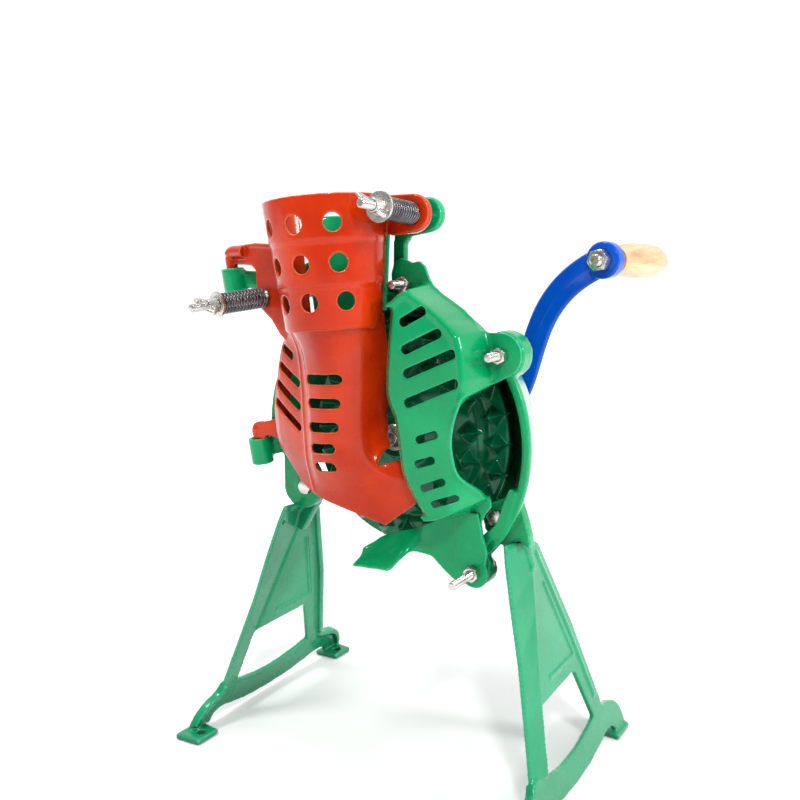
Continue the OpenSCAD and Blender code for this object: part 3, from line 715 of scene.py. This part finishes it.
def build_body():
    axis = (0, AXIS_Z)
    before, behind = DISH_FRONT_Y - 6, DISH_BACK_Y + 60
    centre = cylinder(98, DISH_FRONT_Y - 10, DISH_BACK_Y + 70, axis, 96)
    mouth = combined("DIFFERENCE", prism(sector(-150, -42, 260), before, behind), centre)
    notch = combined("DIFFERENCE", prism(sector(-173, -148, 260), before, -18.5), centre)
    pads = [cylinder(30, -8, 27, (side * (LEG_BOLT[0] + 14), LEG_BOLT[1] - 8), 48) for side in (-1, 1)]
    dish, *ribs = dish_solids()
    for cut in ([mouth], [notch], pads):
        dish = combined("DIFFERENCE", dish, *cut)
    solids = [dish, back_shell_solid()] + ribs + leg_lug_solids(tall=True)
    solids += [mirrored(s) for s in leg_lug_solids(tall=False)]
    solids += stud_lug_solids() + bolt_arm_solids() + socket_solids()
    pin = PIN_R + 0.4
    cuts = [hinge_rod(-10, 9, pin), hinge_rod(HINGE_LENGTH - 20, HINGE_LENGTH + 16, pin)]
    cuts += [stud_bore(i, y1=0) for i in range(3)]
    cuts += [cylinder(5.3, -60, 20, (side * LEG_BOLT[0], LEG_BOLT[1])) for side in (-1, 1)]
    cuts.append(cylinder(BOLT_R + PLAY, -80, 0, RIGHT_BOLT_XZ))
    cuts.append(placed(cylinder(BOLT_R + PLAY, 0, 60), LEFT_BOLT))
    obj = cast("body-casting", solids, cuts, [hinge_rod(8, 16, pin, 10.5)], voxel=1.25, smooth=4)
    finish_piece(obj, GREEN, "body", "body_casting")


# ---------- disc and shaft

def tooth(angle, ring_r, radial, across, y, height=14):
    """A sharp four-sided tooth that stands on the disc's face, longer along the radius than across it."""
    a = math.radians(angle)
    rings = []
    for size, h in ((1.2, -2), (1.0, 0), (0.5, height * 0.55), (0.08, height)):
        corners = [(radial * size, 0), (0, across * size), (-radial * size, 0), (0, -across * size)]
        rings.append([(u * math.cos(a) - v * math.sin(a), y - h, u * math.sin(a) + v * math.cos(a))
                      for u, v in corners])
    return placed(loft(rings), shift((ring_r * math.cos(a), 0, AXIS_Z + ring_r * math.sin(a))))


def build_rotor():
    face = 4
    profile = [(8.1, -20), (20, -20), (21.5, -18), (24, -6), (32, 3.5), (38, face), (78, face), (84, 7),
               (90, face), (110, 2.5), (ROTOR_R, face), (ROTOR_R, 15), (106, 14), (32, 14), (22, 22),
               (8.1, 22)]
    solids = [spun(profile, 128, (0, AXIS_Z), closed=True)]
    solids += [tooth(360 * i / OUTER_TEETH, ROTOR_R - 13, 13, 11.5, face) for i in range(OUTER_TEETH)]
    solids += [tooth(6 + 360 * i / INNER_TEETH, ROTOR_R - 43, 12, 10.5, face) for i in range(INNER_TEETH)]
    obj = cast("toothed-disc", solids, voxel=1.0, smooth=1)
    finish_piece(obj, DISC_GREEN, "rotor", "rotor_disc")


def build_shaft():
    profile = [(TIP_R, -39.6), (5, -39.6), (6, -38.6), (6, -20), (8, -20), (8, 88), (7, 88), (7, 104),
               (6, 104), (6, 117), (5, 118), (TIP_R, 118)]
    shaft = machined("main-shaft", spun(profile, 48, (0, AXIS_Z)))
    finish_piece(shaft, STEEL, "rotor", "main_shaft")
    zinc_piece("front-shaft-washer", "rotor", washer(0, AXIS_Z, -23, -20, 13, 6.1), node="shaft_front_washer")
    zinc_piece("front-shaft-nut", "rotor", nut(0, AXIS_Z, -33, -23, 18, 6.1, 0.2), node="shaft_front_nut")
    zinc_piece("crank-spacer", "rotor", washer(0, AXIS_Z, 84.1, 88, 15, 8.1))
    zinc_piece("crank-washer", "rotor", washer(0, AXIS_Z, 104, 107, 13, 6.1))
    zinc_piece("crank-nut", "rotor", nut(0, AXIS_Z, 107, 116, 19, 6.1, 0.5))


# ---------- crank and knob

def crank_point(t):
    """A point of the arm's curve from the hub (0) to the eye (1), as (x, z) from the axis."""
    x, z = CRANK_REACH
    a, b, c, d = np.array([[0, 0], [0.79 * x, 0], [0.3 * x, 0.71 * z], [x, z]], float)
    return a * (1 - t) ** 3 + 3 * b * t * (1 - t) ** 2 + 3 * c * t * t * (1 - t) + d * t ** 3


def build_crank():
    rings = []
    for t in np.linspace(0, 1, 60):
        p = crank_point(t)
        d = crank_point(t + 0.01) - crank_point(t - 0.01)
        side = np.array([-d[1], d[0]]) / np.linalg.norm(d)
        half = 14.5 - 1.5 * math.sin(math.pi * t)
        section = [(-half, 1.5), (-half, -1.5), (-half + 2, -3.4), (-1.5, -5.4), (1.5, -5.4),
                   (half - 2, -3.4), (half, -1.5), (half, 1.5), (half - 2, 3.6), (1.5, 4.8), (-1.5, 4.8),
                   (-half + 2, 3.6)]
        rings.append([(p[0] + s * side[0], EYE_Y + y, AXIS_Z + p[1] + s * side[1]) for s, y in section])
    hub = spun([(17.5, 88), (19, 89.5), (19, 102.5), (17.5, 104)], 48, (0, AXIS_Z))
    boss = placed(spun([(16.5, -7), (18, -5.5), (18, 5.5), (16.5, 7)], 48), EYE_FRAME)
    cuts = [cylinder(7.1, 60, 140, (0, AXIS_Z), 32), placed(cylinder(6.2, -40, 40, n=32), EYE_FRAME)]
    obj = cast("crank-arm", [loft(rings), hub, boss], cuts, voxel=0.7, smooth=3)
    finish_piece(obj, BLUE, "rotor", "crank_arm")


def build_knob():
    shank = spun([(TIP_R, -8), (5.5, -8), (6, -7), (6, 113), (9.5, 113), (10, 113.5), (10, 116.5), (9, 117),
                  (TIP_R, 117)], 40)
    spindle = [threaded(0, 0, -22, -7, 6), shank, washer(0, 0, 7, 8.9, 10, 5.9)]
    zinc_piece("knob-spindle", "rotor", *[placed(s, EYE_FRAME) for s in spindle])
    zinc_piece("spindle-nut", "rotor", placed(nut(0, 0, -17, -7, 19, 6.1, 0.15), EYE_FRAME))
    band = spun([(12.6, 9), (13.6, 9), (14, 9.6), (14, 12), (13.7, 12.6), (14, 13.2), (14, 17.3), (13.5, 18),
                 (12.6, 18)], 64, closed=True)
    ferrule = machined("knob-ferrule", placed(band, EYE_FRAME))
    finish_piece(ferrule, COPPER, "knob", "knob_ferrule")
    bore_r, head_y = 6.05, 113
    profile = [(bore_r, KNOB_START), (12.5, KNOB_START), (12.5, 18)]
    for t in np.linspace(0, 1, 40)[:-1]:
        swell = 12.9 + 4.6 * math.sin(min(math.pi / 2, 3.3 * t)) - 6 * (max(t - 0.7, 0) / 0.3) ** 2
        profile.append((swell, 18.2 + t * (KNOB_END - 21.5)))
    # the wood ends here, and the rest is a ring round the spindle's head
    profile += [(10.1, head_y), (bore_r, head_y)]
    profile += [(11.2, KNOB_END - 1.2), (10.6, KNOB_END), (10.15, KNOB_END), (10.15, head_y),
                (bore_r, head_y)]
    knob = placed(spun(profile, 96, closed=True), EYE_FRAME)
    finish_piece(machined("wooden-knob", knob, angle=50), WOOD, "knob", "wooden_knob")


# ---------- chute

def hopper_solid():
    """The holed cone, open at its back, with a small step at each ring."""
    steps = ((0.0, 0.0), (2.0, 0.9), (36.0, 0.9), (39.5, 1.8), (75.0, 1.8), (78.5, 2.7), (HOPPER_H, 2.7))
    rows = []
    for h in sorted(set(np.linspace(0, HOPPER_H, 24)) | {h for h, step in steps}):
        r = HOPPER_LOW_R - 0.9 + (HOPPER_TOP_R - HOPPER_LOW_R - 1.8) * h / HOPPER_H
        r += np.interp(h, *zip(*steps))
        rows.append((h, r, r - CHUTE_WALL))
    return cone_wall(rows, -90, 115, 72)


# Each level is its height, then the X and the Y of nine points from the wing's edge to the spout's.
TROUGH_LEVELS = (
    (440, (-92, -78, -66, -52, -28, -6, 8, 15, 16), (-50, -78, -98, -112, -121, -116, -102, -84, -62)),
    (424, (-96, -83, -66, -52, -28, -7, 6, 13, 14), (-50, -78, -95, -106, -114, -110, -97, -80, -56)),
    (404, (-106, -94, -59, -46, -25, -7, 5, 11, 12), (-46, -76, -92, -101, -107, -102, -90, -73, -50)),
    (372, (-112, -101, -55, -42, -22, -6, 5, 10, 10), (-42, -75, -92, -100, -104, -99, -86, -68, -47)),
    (345, (-116, -105, -53, -40, -21, -5, 5, 9, 9), (-40, -74, -93, -100, -103, -97, -84, -65, -46)),
    (318, (-118, -106, -52, -40, -21, -5, 6, 10, 12), (-38, -70, -92, -99, -102, -96, -83, -65, -47)),
    (303, (-116, -103, -54, -42, -22, -4, 8, 18, 34), (-40, -67, -88, -94, -96, -91, -80, -67, -58)),
    (285, (-110, -96, -57, -44, -22, -3, 14, 32, 56), (-48, -64, -79, -84, -85, -80, -71, -64, -59)),
    (268, (-104, -86, -57, -42, -22, -2, 16, 34, 58), (-58, -64, -73, -76, -76, -73, -68, -63, -59)),
    (238, (-98, -80, -57, -42, -22, -2, 18, 36, 58), (-62, -63, -66, -67, -67, -67, -65, -62, -58)),
)
RIDGE = [(xs[2] - 2, ys[2] + 1.5, z) for z, xs, ys in TROUGH_LEVELS[1:-1]]


def trough_solid():
    """The trough, wing and spout as one bent sheet, lofted from level to level."""
    levels = np.array([[(x, y, z) for x, y in zip(xs, ys)] for z, xs, ys in TROUGH_LEVELS], float)
    rows = np.array([curve(levels[:, k], 5) for k in range(levels.shape[1])]).transpose(1, 0, 2)
    return thickened(np.array([curve(row, 5) for row in rows]), CHUTE_WALL)


TROUGH_OUTLINE = [(-110, 450), (-124, 400), (-124, 312), (-103, 303), (-94, 295), (-85, 283), (-77, 272),
                  (-62, 264), (-27, 255), (18, 243), (47, 266), (50, 300), (32, 306), (21, 303), (13, 300),
                  (12.5, 312), (20, 340), (24, 450)]
TROUGH_SLOTS = ((-47, -6, 380), (-46, -8, 358), (-45, -10, 336), (-43, -14, 316), (-44, -18, 297))
WING_SLOTS = (((-86, 405), (-74, 399)), ((-92, 388), (-65, 374)), ((-96, 370), (-64, 352)),
              ((-98, 352), (-64, 332)))
HOPPER_HOLES = ((-124, 92), (-86, 92), (-49, 92), (-122, 58), (-84, 58), (-45, 58), (-119, 25), (-80, 25),
                (-39, 25))


def flange_solids():
    outline = [(0, 484), (3, 497), (10, 502), (26, 503), (86, 501), (104, 420), (90, 412), (80, 417),
               (66, 431), (48, 442), (42, 452), (41, 478), (34, 483), (20, 484)]
    bead = swept([(4, 0, 494), (14, 0, 501), (40, 0, 502.5), (84, 0, 500)], 2.6)
    return [placed(prism(outline, -2, 2), FLANGE), placed(bead, FLANGE)]


def hook_solids():
    """The two hook pins, the bent top of the upper one and the arm of the lower one."""
    pin = PIN_R - 0.1
    top = on_hinge(HINGE_LENGTH + 24)
    bend = [top + (8 * (1 - math.cos(b)), -2 * (1 - math.cos(b)), 3 * math.sin(b))
            for b in np.linspace(0, math.pi / 2, 7)]
    knuckle = swept([top + (0, 0, -4)] + bend + [top + (24, -6, 3)], 6.2)
    low_arm = smooth_outline([(-158, 307), (-159, 317), (-153, 323), (-143, 324), (-124, 330), (-112, 338),
                              (-100, 320), (-98, 298), (-112, 303), (-125, 308), (-139, 310), (-146, 305)], 4)
    return [hinge_rod(HINGE_LENGTH - 12, HINGE_LENGTH + 22, pin, n=32), knuckle,
            hinge_rod(-8.5, 24, pin, n=32), prism(low_arm, -47, -38)]


def ear_solids():
    return [spun([(16, -62), (17, -61), (17, -55), (16, -54)], 48, RIGHT_BOLT_XZ),
            prism([(13, 512), (13, 544.6), (44, 544.8), (46, 511.2), (24, 509)], -62, -54)]


def build_chute():
    trough = combined("INTERSECT", trough_solid(), prism(TROUGH_OUTLINE, -140, 0))
    ridge = swept(curve(RIDGE, 5), 1.7)
    solids = [hopper_solid(), trough, ridge] + flange_solids() + hook_solids() + ear_solids()
    cuts = [prism(slot_outline((a + 4.5, z), (b - 4.5, z + 2), 4.5), -130, -50) for a, b, z in TROUGH_SLOTS]
    cuts += [prism(slot_outline(a, b, 4), -120, -20) for a, b in WING_SLOTS]
    for angle, h in HOPPER_HOLES:
        a = math.radians(angle)
        out = np.array([math.cos(a), math.sin(a), 0])
        cuts.append(placed(rod(30 * out + (0, 0, h), 72 * out + (0, 0, h), 8), HOPPER))
    cuts.append(cylinder(BOLT_R + 2, -70, -40, RIGHT_BOLT_XZ, 32))
    cuts.append(placed(cylinder(BOLT_R + 2, -10, 10, LEFT_BOLT_PLACE, 32), FLANGE))
    obj = cast("chute-casting", solids, cuts, voxel=0.9, smooth=4)
    finish_piece(obj, RED, "chute", "chute")


# ---------- guard and deflector

GUARD_LEFT = [(27, 455), (29, 441), (26, 413), (24, 388), (24, 370), (26, 361), (33, 347), (36, 330),
              (38, 316), (41, 299), (47, 287), (55, 274), (66, 260)]
GUARD_RIDGE = [(6, 445), (24, 447), (33, 451), (40, 457), (49.5, 461), (60.5, 453.5), (70.5, 447.5),
               (81.5, 440), (92, 430.5), (99, 423), (102, 411), (104, 398), (105, 386), (104, 368)]
GUARD_FOOT = [(60, 257), (70, 259), (81, 262), (100, 272), (116, 280)]
GUARD_ARCH = [(114, 379), (106, 371), (100, 357), (97, 346), (95.5, 336), (95.5, 328), (97, 319), (99, 311),
              (102, 303), (106, 294), (110, 285), (113, 276)]
GUARD_SLOTS = (((46, 434), (65, 444), 4.3), ((48, 410), (80, 425), 4.3), ((50, 389), (94, 408), 4.3),
               ((51, 363), (97, 383), 4.3), ((62, 331), (78, 337), 3.6), ((61, 309), (75, 314), 3.6),
               ((67, 288), (86, 296), 3.4), ((78, 275), (96, 282), 3.2))


def signed_distance(x, z, line):
    """Distance of a grid of points from an open line, positive on its left side as it is followed."""
    line = np.asarray(line, float)
    best = np.full(x.shape, 1e9)
    sign = np.ones(x.shape)
    for a, b in zip(line[:-1], line[1:]):
        run = b - a
        t = np.clip(((x - a[0]) * run[0] + (z - a[1]) * run[1]) / (run @ run), 0, 1)
        dx, dz = x - a[0] - t * run[0], z - a[1] - t * run[1]
        d = np.hypot(dx, dz)
        side = np.sign(run[0] * dz - run[1] * dx)
        nearer = d < best
        best = np.where(nearer, d, best)
        sign = np.where(nearer, np.where(side == 0, 1, side), sign)
    return best * sign


def guard_heights(x, z):
    """The Y of the guard's front over a grid: a raised face with sloping sides, beads and a low foot."""
    beyond_ridge = np.where(z > 366, signed_distance(x, z, GUARD_RIDGE), -50)
    below_foot = np.where(z < 300, -signed_distance(x, z, GUARD_FOOT), -50)
    from_left = np.abs(signed_distance(x, z, GUARD_LEFT))
    from_arch = np.abs(signed_distance(x, z, GUARD_ARCH))
    slope = np.where(z > 436, np.interp(x, (44, 54), (9, 4.5)), np.interp(z, (424, 436), (11, 4.5)))
    y = np.full(x.shape, float(GUARD_FACE_Y))
    y += 38 * smoothstep(beyond_ridge / slope, 0, 1) + 41 * smoothstep(below_foot, 0, 8)
    y += 36 * smoothstep(x, 92, 117) * smoothstep(312 - z, 0, 32)
    y += 7 * (1 - smoothstep(from_left, 0, 8)) * (z > 262) * (z < 446)
    y -= 1.4 * np.exp(-((beyond_ridge + 2.5) / 2.2) ** 2) + 1.6 * np.exp(-((from_arch - 1) / 2.0) ** 2)
    return np.minimum(y, np.where(z < 300, LUG_Y, LUG_Y - PLATE_T))


def build_guard():
    step = 1.2
    x, z = np.meshgrid(np.arange(2, 150, step), np.arange(184, 500, step))
    sheet = thickened(np.stack([x, guard_heights(x, z), z], axis=2), PLATE_T)
    outline = [(10.5, 462), (10, 476), (13, 486), (20, 490.5), (27, 488), (32, 485.5), (40, 487), (46, 482),
               (50, 472), (54, 465.5), (63.5, 458), (73.5, 452), (84.5, 445), (95.5, 435.5), (104, 427.5),
               (110, 425)]
    outline += arc(*stud_xz(1), 20, 100, -48, 14) + [(124, 384)] + GUARD_ARCH
    outline += [(114, 268), (108, 260), (104, 252), (106, 240), (110, 228)]
    outline += arc(*stud_xz(2), 13.5, 30, -200, 14) + [(82, 214), (78, 232), (72, 250)]
    outline += GUARD_LEFT[::-1] + [(17, 452)]
    cuts = [prism(slot_outline(a, b, r), -100, -20) for a, b, r in GUARD_SLOTS]
    cuts += [stud_bore(i) for i in range(3)]
    plate = boolean(remeshed(make_object("sheet", sheet), 1.0), "INTERSECT", prism(outline, -100, 0))
    obj = cast("guard-plate", [solid_of(plate)], cuts, voxel=0.85, smooth=4)
    finish_piece(obj, GREEN, "body", "guard")


DEFLECTOR_EDGES = (
    ((-15, -73, 201.5), (-10, -60, 214)), ((4, -73, 202.5), (-1, -47, 224)), ((26, -72, 204), (16, -40, 231)),
    ((31, -58, 212), (35, -39, 237)), ((39, -46, 217), (48, -41, 244)), ((49, -42, 216), (60, -41.5, 251)),
    ((61, -41.5, 208), (72, -41.5, 258)), ((74, -41.5, 196), (88, -41.5, 262)),
    ((88, -41.5, 192), (100, -41.5, 261)))


def build_deflector():
    """The lower lug's plate, bent forward on its left into a sloping lip."""
    low, high = [np.array(curve(edge, 6)) for edge in zip(*DEFLECTOR_EDGES)]
    up = np.linspace(0, 1, 16)
    sheet = np.array([low + (high - low) * t for t in up])
    sheet[:, :, 1] += (np.sin(up * np.pi) * 3)[:, None] * np.linspace(1, 0, sheet.shape[1])
    outline = [(80, 262), (102, 261), (105, 249), (107, 238), (112, 227)]
    outline += arc(*stud_xz(2), 14.5, 35, -135, 14) + [(84, 194), (80, 200)]
    plate = prism(outline, LUG_Y - PLATE_T, LUG_Y)
    obj = cast("deflector-plate", [plate, thickened(sheet, 2.6)], [stud_bore(2)], voxel=0.8, smooth=4)
    finish_piece(obj, GREEN, "body", "kernel_deflector")


def build_guard_fasteners():
    studs, nuts = [], []
    for i in range(3):
        x, z = stud_xz(i)
        studs.append(threaded(x, z, STUD_TIPS_Y[i], -20.2, STUD_R - 0.05))
        nuts.append(nut(x, z, LUG_Y - PLATE_T - 7, LUG_Y - PLATE_T, 13, STUD_R + 0.05, 0.3 * i + 0.2))
    zinc_piece("guard-studs", "body", *studs)
    zinc_piece("guard-nuts", "body", *nuts)


# ---------- legs

def in_leg_plane(solid):
    """Takes a solid drawn as (along Y, inwards, up the slope) into the left leg's leaning plane."""
    points = np.asarray(solid[0], float)
    lean = math.radians(LEG_LEAN)
    y, inward, up = points[:, 0], points[:, 1], points[:, 2]
    x = -LEG_FOOT_X + inward * math.cos(lean) + up * math.sin(lean)
    z = up * math.cos(lean) - inward * math.sin(lean)
    return np.column_stack([x, y, z]), solid[1]


FRONT_TOE = [(-84, 45), (-90, 37), (-99, 32.5), (-108, 28), (-116, 21), (-121, 12), (-123.5, 3.5)]
FRONT_HEEL = [(-92.5, 3.5), (-92, 9), (-88.5, 13), (-82, 15.5), (-74, 15.5), (-60, 12.5), (-34, 9), (0, 7.5)]
REAR_HEEL = [(34, 9), (60, 12.5), (78, 15.5), (93, 16.5), (103, 14), (108, 9), (109, 3.5)]
REAR_TOE = [(136, 3.5), (134, 15), (128, 28), (116, 36.5), (102, 39.5), (92, 42), (86, 47)]
TOE_CURVES = [curve(line) for line in (FRONT_TOE, FRONT_HEEL, REAR_HEEL, REAR_TOE)]
LEG_OUTLINE = [(23, 229), (18, 233), (2, 234), (3, 226), (-43, 95), (-58, 42), (-80, 47)]
LEG_OUTLINE += sum(TOE_CURVES, []) + [(59, 140)]
LEG_WINDOW = [(-58, 43), (-44, 93), (-41, 96), (37, 98), (43, 95)]
LEG_WINDOW += curve([(63, 43), (42, 38.5), (10, 34.5), (-26, 35), (-57, 40)])
LEG_FLANGE = (((-22, 242), (4, 234)), ((-36, 243), (3, 226)), ((-42, 225), (-2, 212)),
              ((-50, 187), (-13, 180)), ((-58, 140), (-29, 136)), ((-70, 95), (-43, 95)),
              ((-84, 45), (-58, 42)))


def bar(a, b, half, y0, y1):
    """A straight strip between two outline points, as a prism."""
    a, b = np.asarray(a, float), np.asarray(b, float)
    side = np.array([-(b - a)[1], (b - a)[0]]) / np.linalg.norm(b - a) * half
    return prism([a + side, b + side, b - side, a - side], y0, y1)


def bars(points, half, y0, y1):
    """A strip along each stretch between the points."""
    return [bar(a, b, half, y0, y1) for a, b in zip(points[:-1], points[1:])]


def leg_web_solids():
    """The web with its flange, ribs, rims and toes, drawn flat and put in the left leg's plane."""
    web = prism(LEG_OUTLINE, 0, 5)
    flange = loft([[(a[0], 3.0, a[1]), (b[0], -2.6, b[1]), (b[0], 3.0, b[1]), (a[0], 6.5, a[1])]
                   for a, b in LEG_FLANGE])
    ribs = bars([(20, 229), (55.5, 140), (83, 48)], 3.6, 0, 10)
    rims = bars([(14, 222), (46, 140), (72, 60)], 2.2, -1.8, 2)
    inner = bars([(16, 192), (46, 112), (-14, 112)], 1.5, -1.6, 6.6)
    toes = []
    for line, inset in ((TOE_CURVES[0][:-3], 3.4), (TOE_CURVES[3][3:], -3.4)):
        edge = [(a + inset, b - 1.5) for a, b in line]
        toes += bars(edge[::2], 3.4, 0, 9)
    return [in_leg_plane(s) for s in [web, flange] + ribs + rims + inner + toes]


def leg_end_solids():
    """The two foot tabs, and the neck and boss that the leg is bolted by."""
    tabs = []
    for side in (-1, 1):
        y = side * FOOT_HOLE[1]
        corners = [(-193, y - 15, 2), (-193, y + 15, 2), (-166, y - 13, 2), (-166, y + 13, 2)]
        tabs.append(hull(corners + [(a, b, c + 2.2) for a, b, c in corners], 1.9))
    neck = prism([(-102, 264), (-119, 264), (-131, 236), (-143, 205), (-126, 200), (-106, 232), (-99, 246)],
                 -8, 2)
    boss = spun([(13, -8), (13.5, -7), (13.5, 1), (12.5, 2)], 40, (-LEG_BOLT[0], LEG_BOLT[1]))
    return tabs + [neck, boss]


def build_legs():
    """The left leg has a brace and a small hole more than the right one, which is its mirror image."""
    solids = leg_web_solids() + leg_end_solids()
    brace = hull([(-128, -6, 232), (-128, 0, 232), (-114, -5, 242), (-114, 0, 242), (-135, 12, 214),
                  (-135, -30, 222)], 2.2)
    cuts = [in_leg_plane(prism(LEG_WINDOW, -8, 22)), cylinder(5.2, -60, 30, (-LEG_BOLT[0], LEG_BOLT[1])),
            prism([(-260, -40), (-60, -40), (-60, 0.0), (-260, 0.0)], -200, 200)]
    for side in (-1, 1):
        x, y = -FOOT_HOLE[0], side * FOOT_HOLE[1]
        cuts.append(rod((x, y, -3), (x, y, 12), 4.5))
    gusset_hole = in_leg_plane(prism(arc(-33, 224, 2.2, 0, 337, 16), -8, 22))
    left = cast("left-leg", solids + [brace], cuts + [gusset_hole], voxel=1.1, smooth=4)
    finish_piece(left, LEG_GREEN, "body", "left_leg")
    right = cast("right-leg", [mirrored(s) for s in solids], [mirrored(c) for c in cuts], voxel=1.1, smooth=4)
    finish_piece(right, LEG_GREEN, "body", "right_leg")


def build_leg_fasteners():
    bolts, washers, nuts = [], [], []
    for side in (-1, 1):
        x, z = side * LEG_BOLT[0], LEG_BOLT[1]
        bolts += [bolt_head(x, z, -24.5, -18, 14), threaded(x, z, -18.1, 17, 4.9, 1.5)]
        washers.append(washer(x, z, 2, 4, 9.5, 5.1))
        nuts.append(nut(x, z, 4, 12, 15, 5.1, 0.4))
    zinc_piece("leg-bolts", "body", *bolts)
    zinc_piece("leg-washers", "body", *washers)
    zinc_piece("leg-nuts", "body", *nuts)


# ---------- spring clamps

def build_clamp(side, matrix, start, bolt_solids, washer_r, wing_turn):
    """One sprung clamp. start is where the spring begins, along Y from the bolt's own place."""
    base = matrix @ shift((0, start, 0))
    zinc_piece(f"{side}-spring-bolt", "body", *[placed(s, matrix) for s in bolt_solids])
    nut_y = -SPRING_LENGTH - 2.5
    ring_solid = washer(0, 0, nut_y, -SPRING_LENGTH, washer_r, BOLT_R + PLAY)
    zinc_piece(f"{side}-spring-washer", f"{side}_clamp", placed(ring_solid, base))
    spring = machined(f"{side}-spring", placed(coil(-SPRING_LENGTH, 0), base), angle=60)
    finish_piece(spring, SPRING, f"{side}_clamp", f"{side}_spring")
    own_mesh(spring)
    wings = [placed(s, base @ turn("Y", wing_turn)) for s in wing_nut_solids(nut_y - 10, nut_y)]
    hole = placed(cylinder(BOLT_R + PLAY, -SPRING_LENGTH - 30, -SPRING_LENGTH + 10, n=32), base)
    wing = cast(f"{side}-wing-nut", wings, [hole], voxel=0.45, smooth=2)
    finish_piece(wing, ZINC, f"{side}_wing", f"{side}_wing_nut")


def build_clamps():
    for side, matrix, start, tip, head, washer_r, wing_turn in (
            ("right", RIGHT_BOLT_FRAME, 0, -80, 34, 13, 35), ("left", LEFT_BOLT, -4, -84, 46, 12, 20)):
        bolt = [threaded(0, 0, tip, head, BOLT_R - 0.05), bolt_head(0, 0, head, head + 6, 13)]
        build_clamp(side, matrix, start, bolt, washer_r, wing_turn)


# ---------- stage

FRONT_LIGHT = 0.42
BACKDROP_LIGHT = 1.1
LAMPS = (("key", (1.0, -1.3, 1.6), 20, 0.2), ("side", (1.6, 0.2, 1.0), 14, 0.3),
         ("top", (-0.5, -0.6, 2.0), 14, 0.4))


def build_stage():
    """A pale floor, a white world that is dimmer in front than behind, and three soft lamps."""
    bpy.ops.mesh.primitive_plane_add(size=12, location=(0, FLOOR_SHIFT, 0))
    floor = bpy.context.object
    floor.data.materials.append(floor_material())
    world = bpy.data.worlds.new("studio")
    bpy.context.scene.world = world
    world.use_nodes = True
    nodes, links = world.node_tree.nodes, world.node_tree.links
    direction = nodes.new("ShaderNodeTexCoord")
    split = nodes.new("ShaderNodeSeparateXYZ")
    backdrop = nodes.new("ShaderNodeMapRange")
    for socket, value in (("From Min", -0.35), ("From Max", 0.1), ("To Min", FRONT_LIGHT),
                          ("To Max", BACKDROP_LIGHT)):
        backdrop.inputs[socket].default_value = value
    links.new(direction.outputs["Generated"], split.inputs["Vector"])
    links.new(split.outputs["Y"], backdrop.inputs["Value"])
    links.new(backdrop.outputs["Result"], nodes["Background"].inputs["Strength"])
    nodes["Background"].inputs["Color"].default_value = (1.0, 1.0, 1.0, 1)
    for name, place, power, size in LAMPS:
        light = bpy.data.lights.new(name, "AREA")
        light.energy = power
        light.size = size
        lamp = bpy.data.objects.new(name, light)
        bpy.context.scene.collection.objects.link(lamp)
        lamp.location = place
        lamp.rotation_euler = (Vector((0, 0, 0.3)) - Vector(place)).to_track_quat("-Z", "Y").to_euler()


def build_camera():
    """The picture's viewpoint: place, heading and pitch found from the object's own lines."""
    bpy.context.scene.view_settings.view_transform = "Standard"
    data = bpy.data.cameras.new("camera")
    data.lens = 39.9
    data.sensor_width = 36
    camera = bpy.data.objects.new("camera", data)
    bpy.context.scene.collection.objects.link(camera)
    camera.location = (0.45266, -0.73851, 0.480)
    camera.rotation_euler = (math.radians(90 - 8.42), 0, math.radians(31.87))
    bpy.context.scene.camera = camera


for build in (build_body, build_rotor, build_shaft, build_crank, build_knob, build_chute, build_guard,
              build_deflector, build_guard_fasteners, build_legs, build_leg_fasteners, build_clamps,
              build_stage, build_camera):
    build()
HIDDEN = (("shaft_bushes", BRONZE), ("thrust_washer", BRONZE), ("rotor_key", STEEL), ("crank_key", STEEL))
for node, material in HIDDEN:
    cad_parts[node].data.materials.clear()
    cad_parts[node].data.materials.append(material)
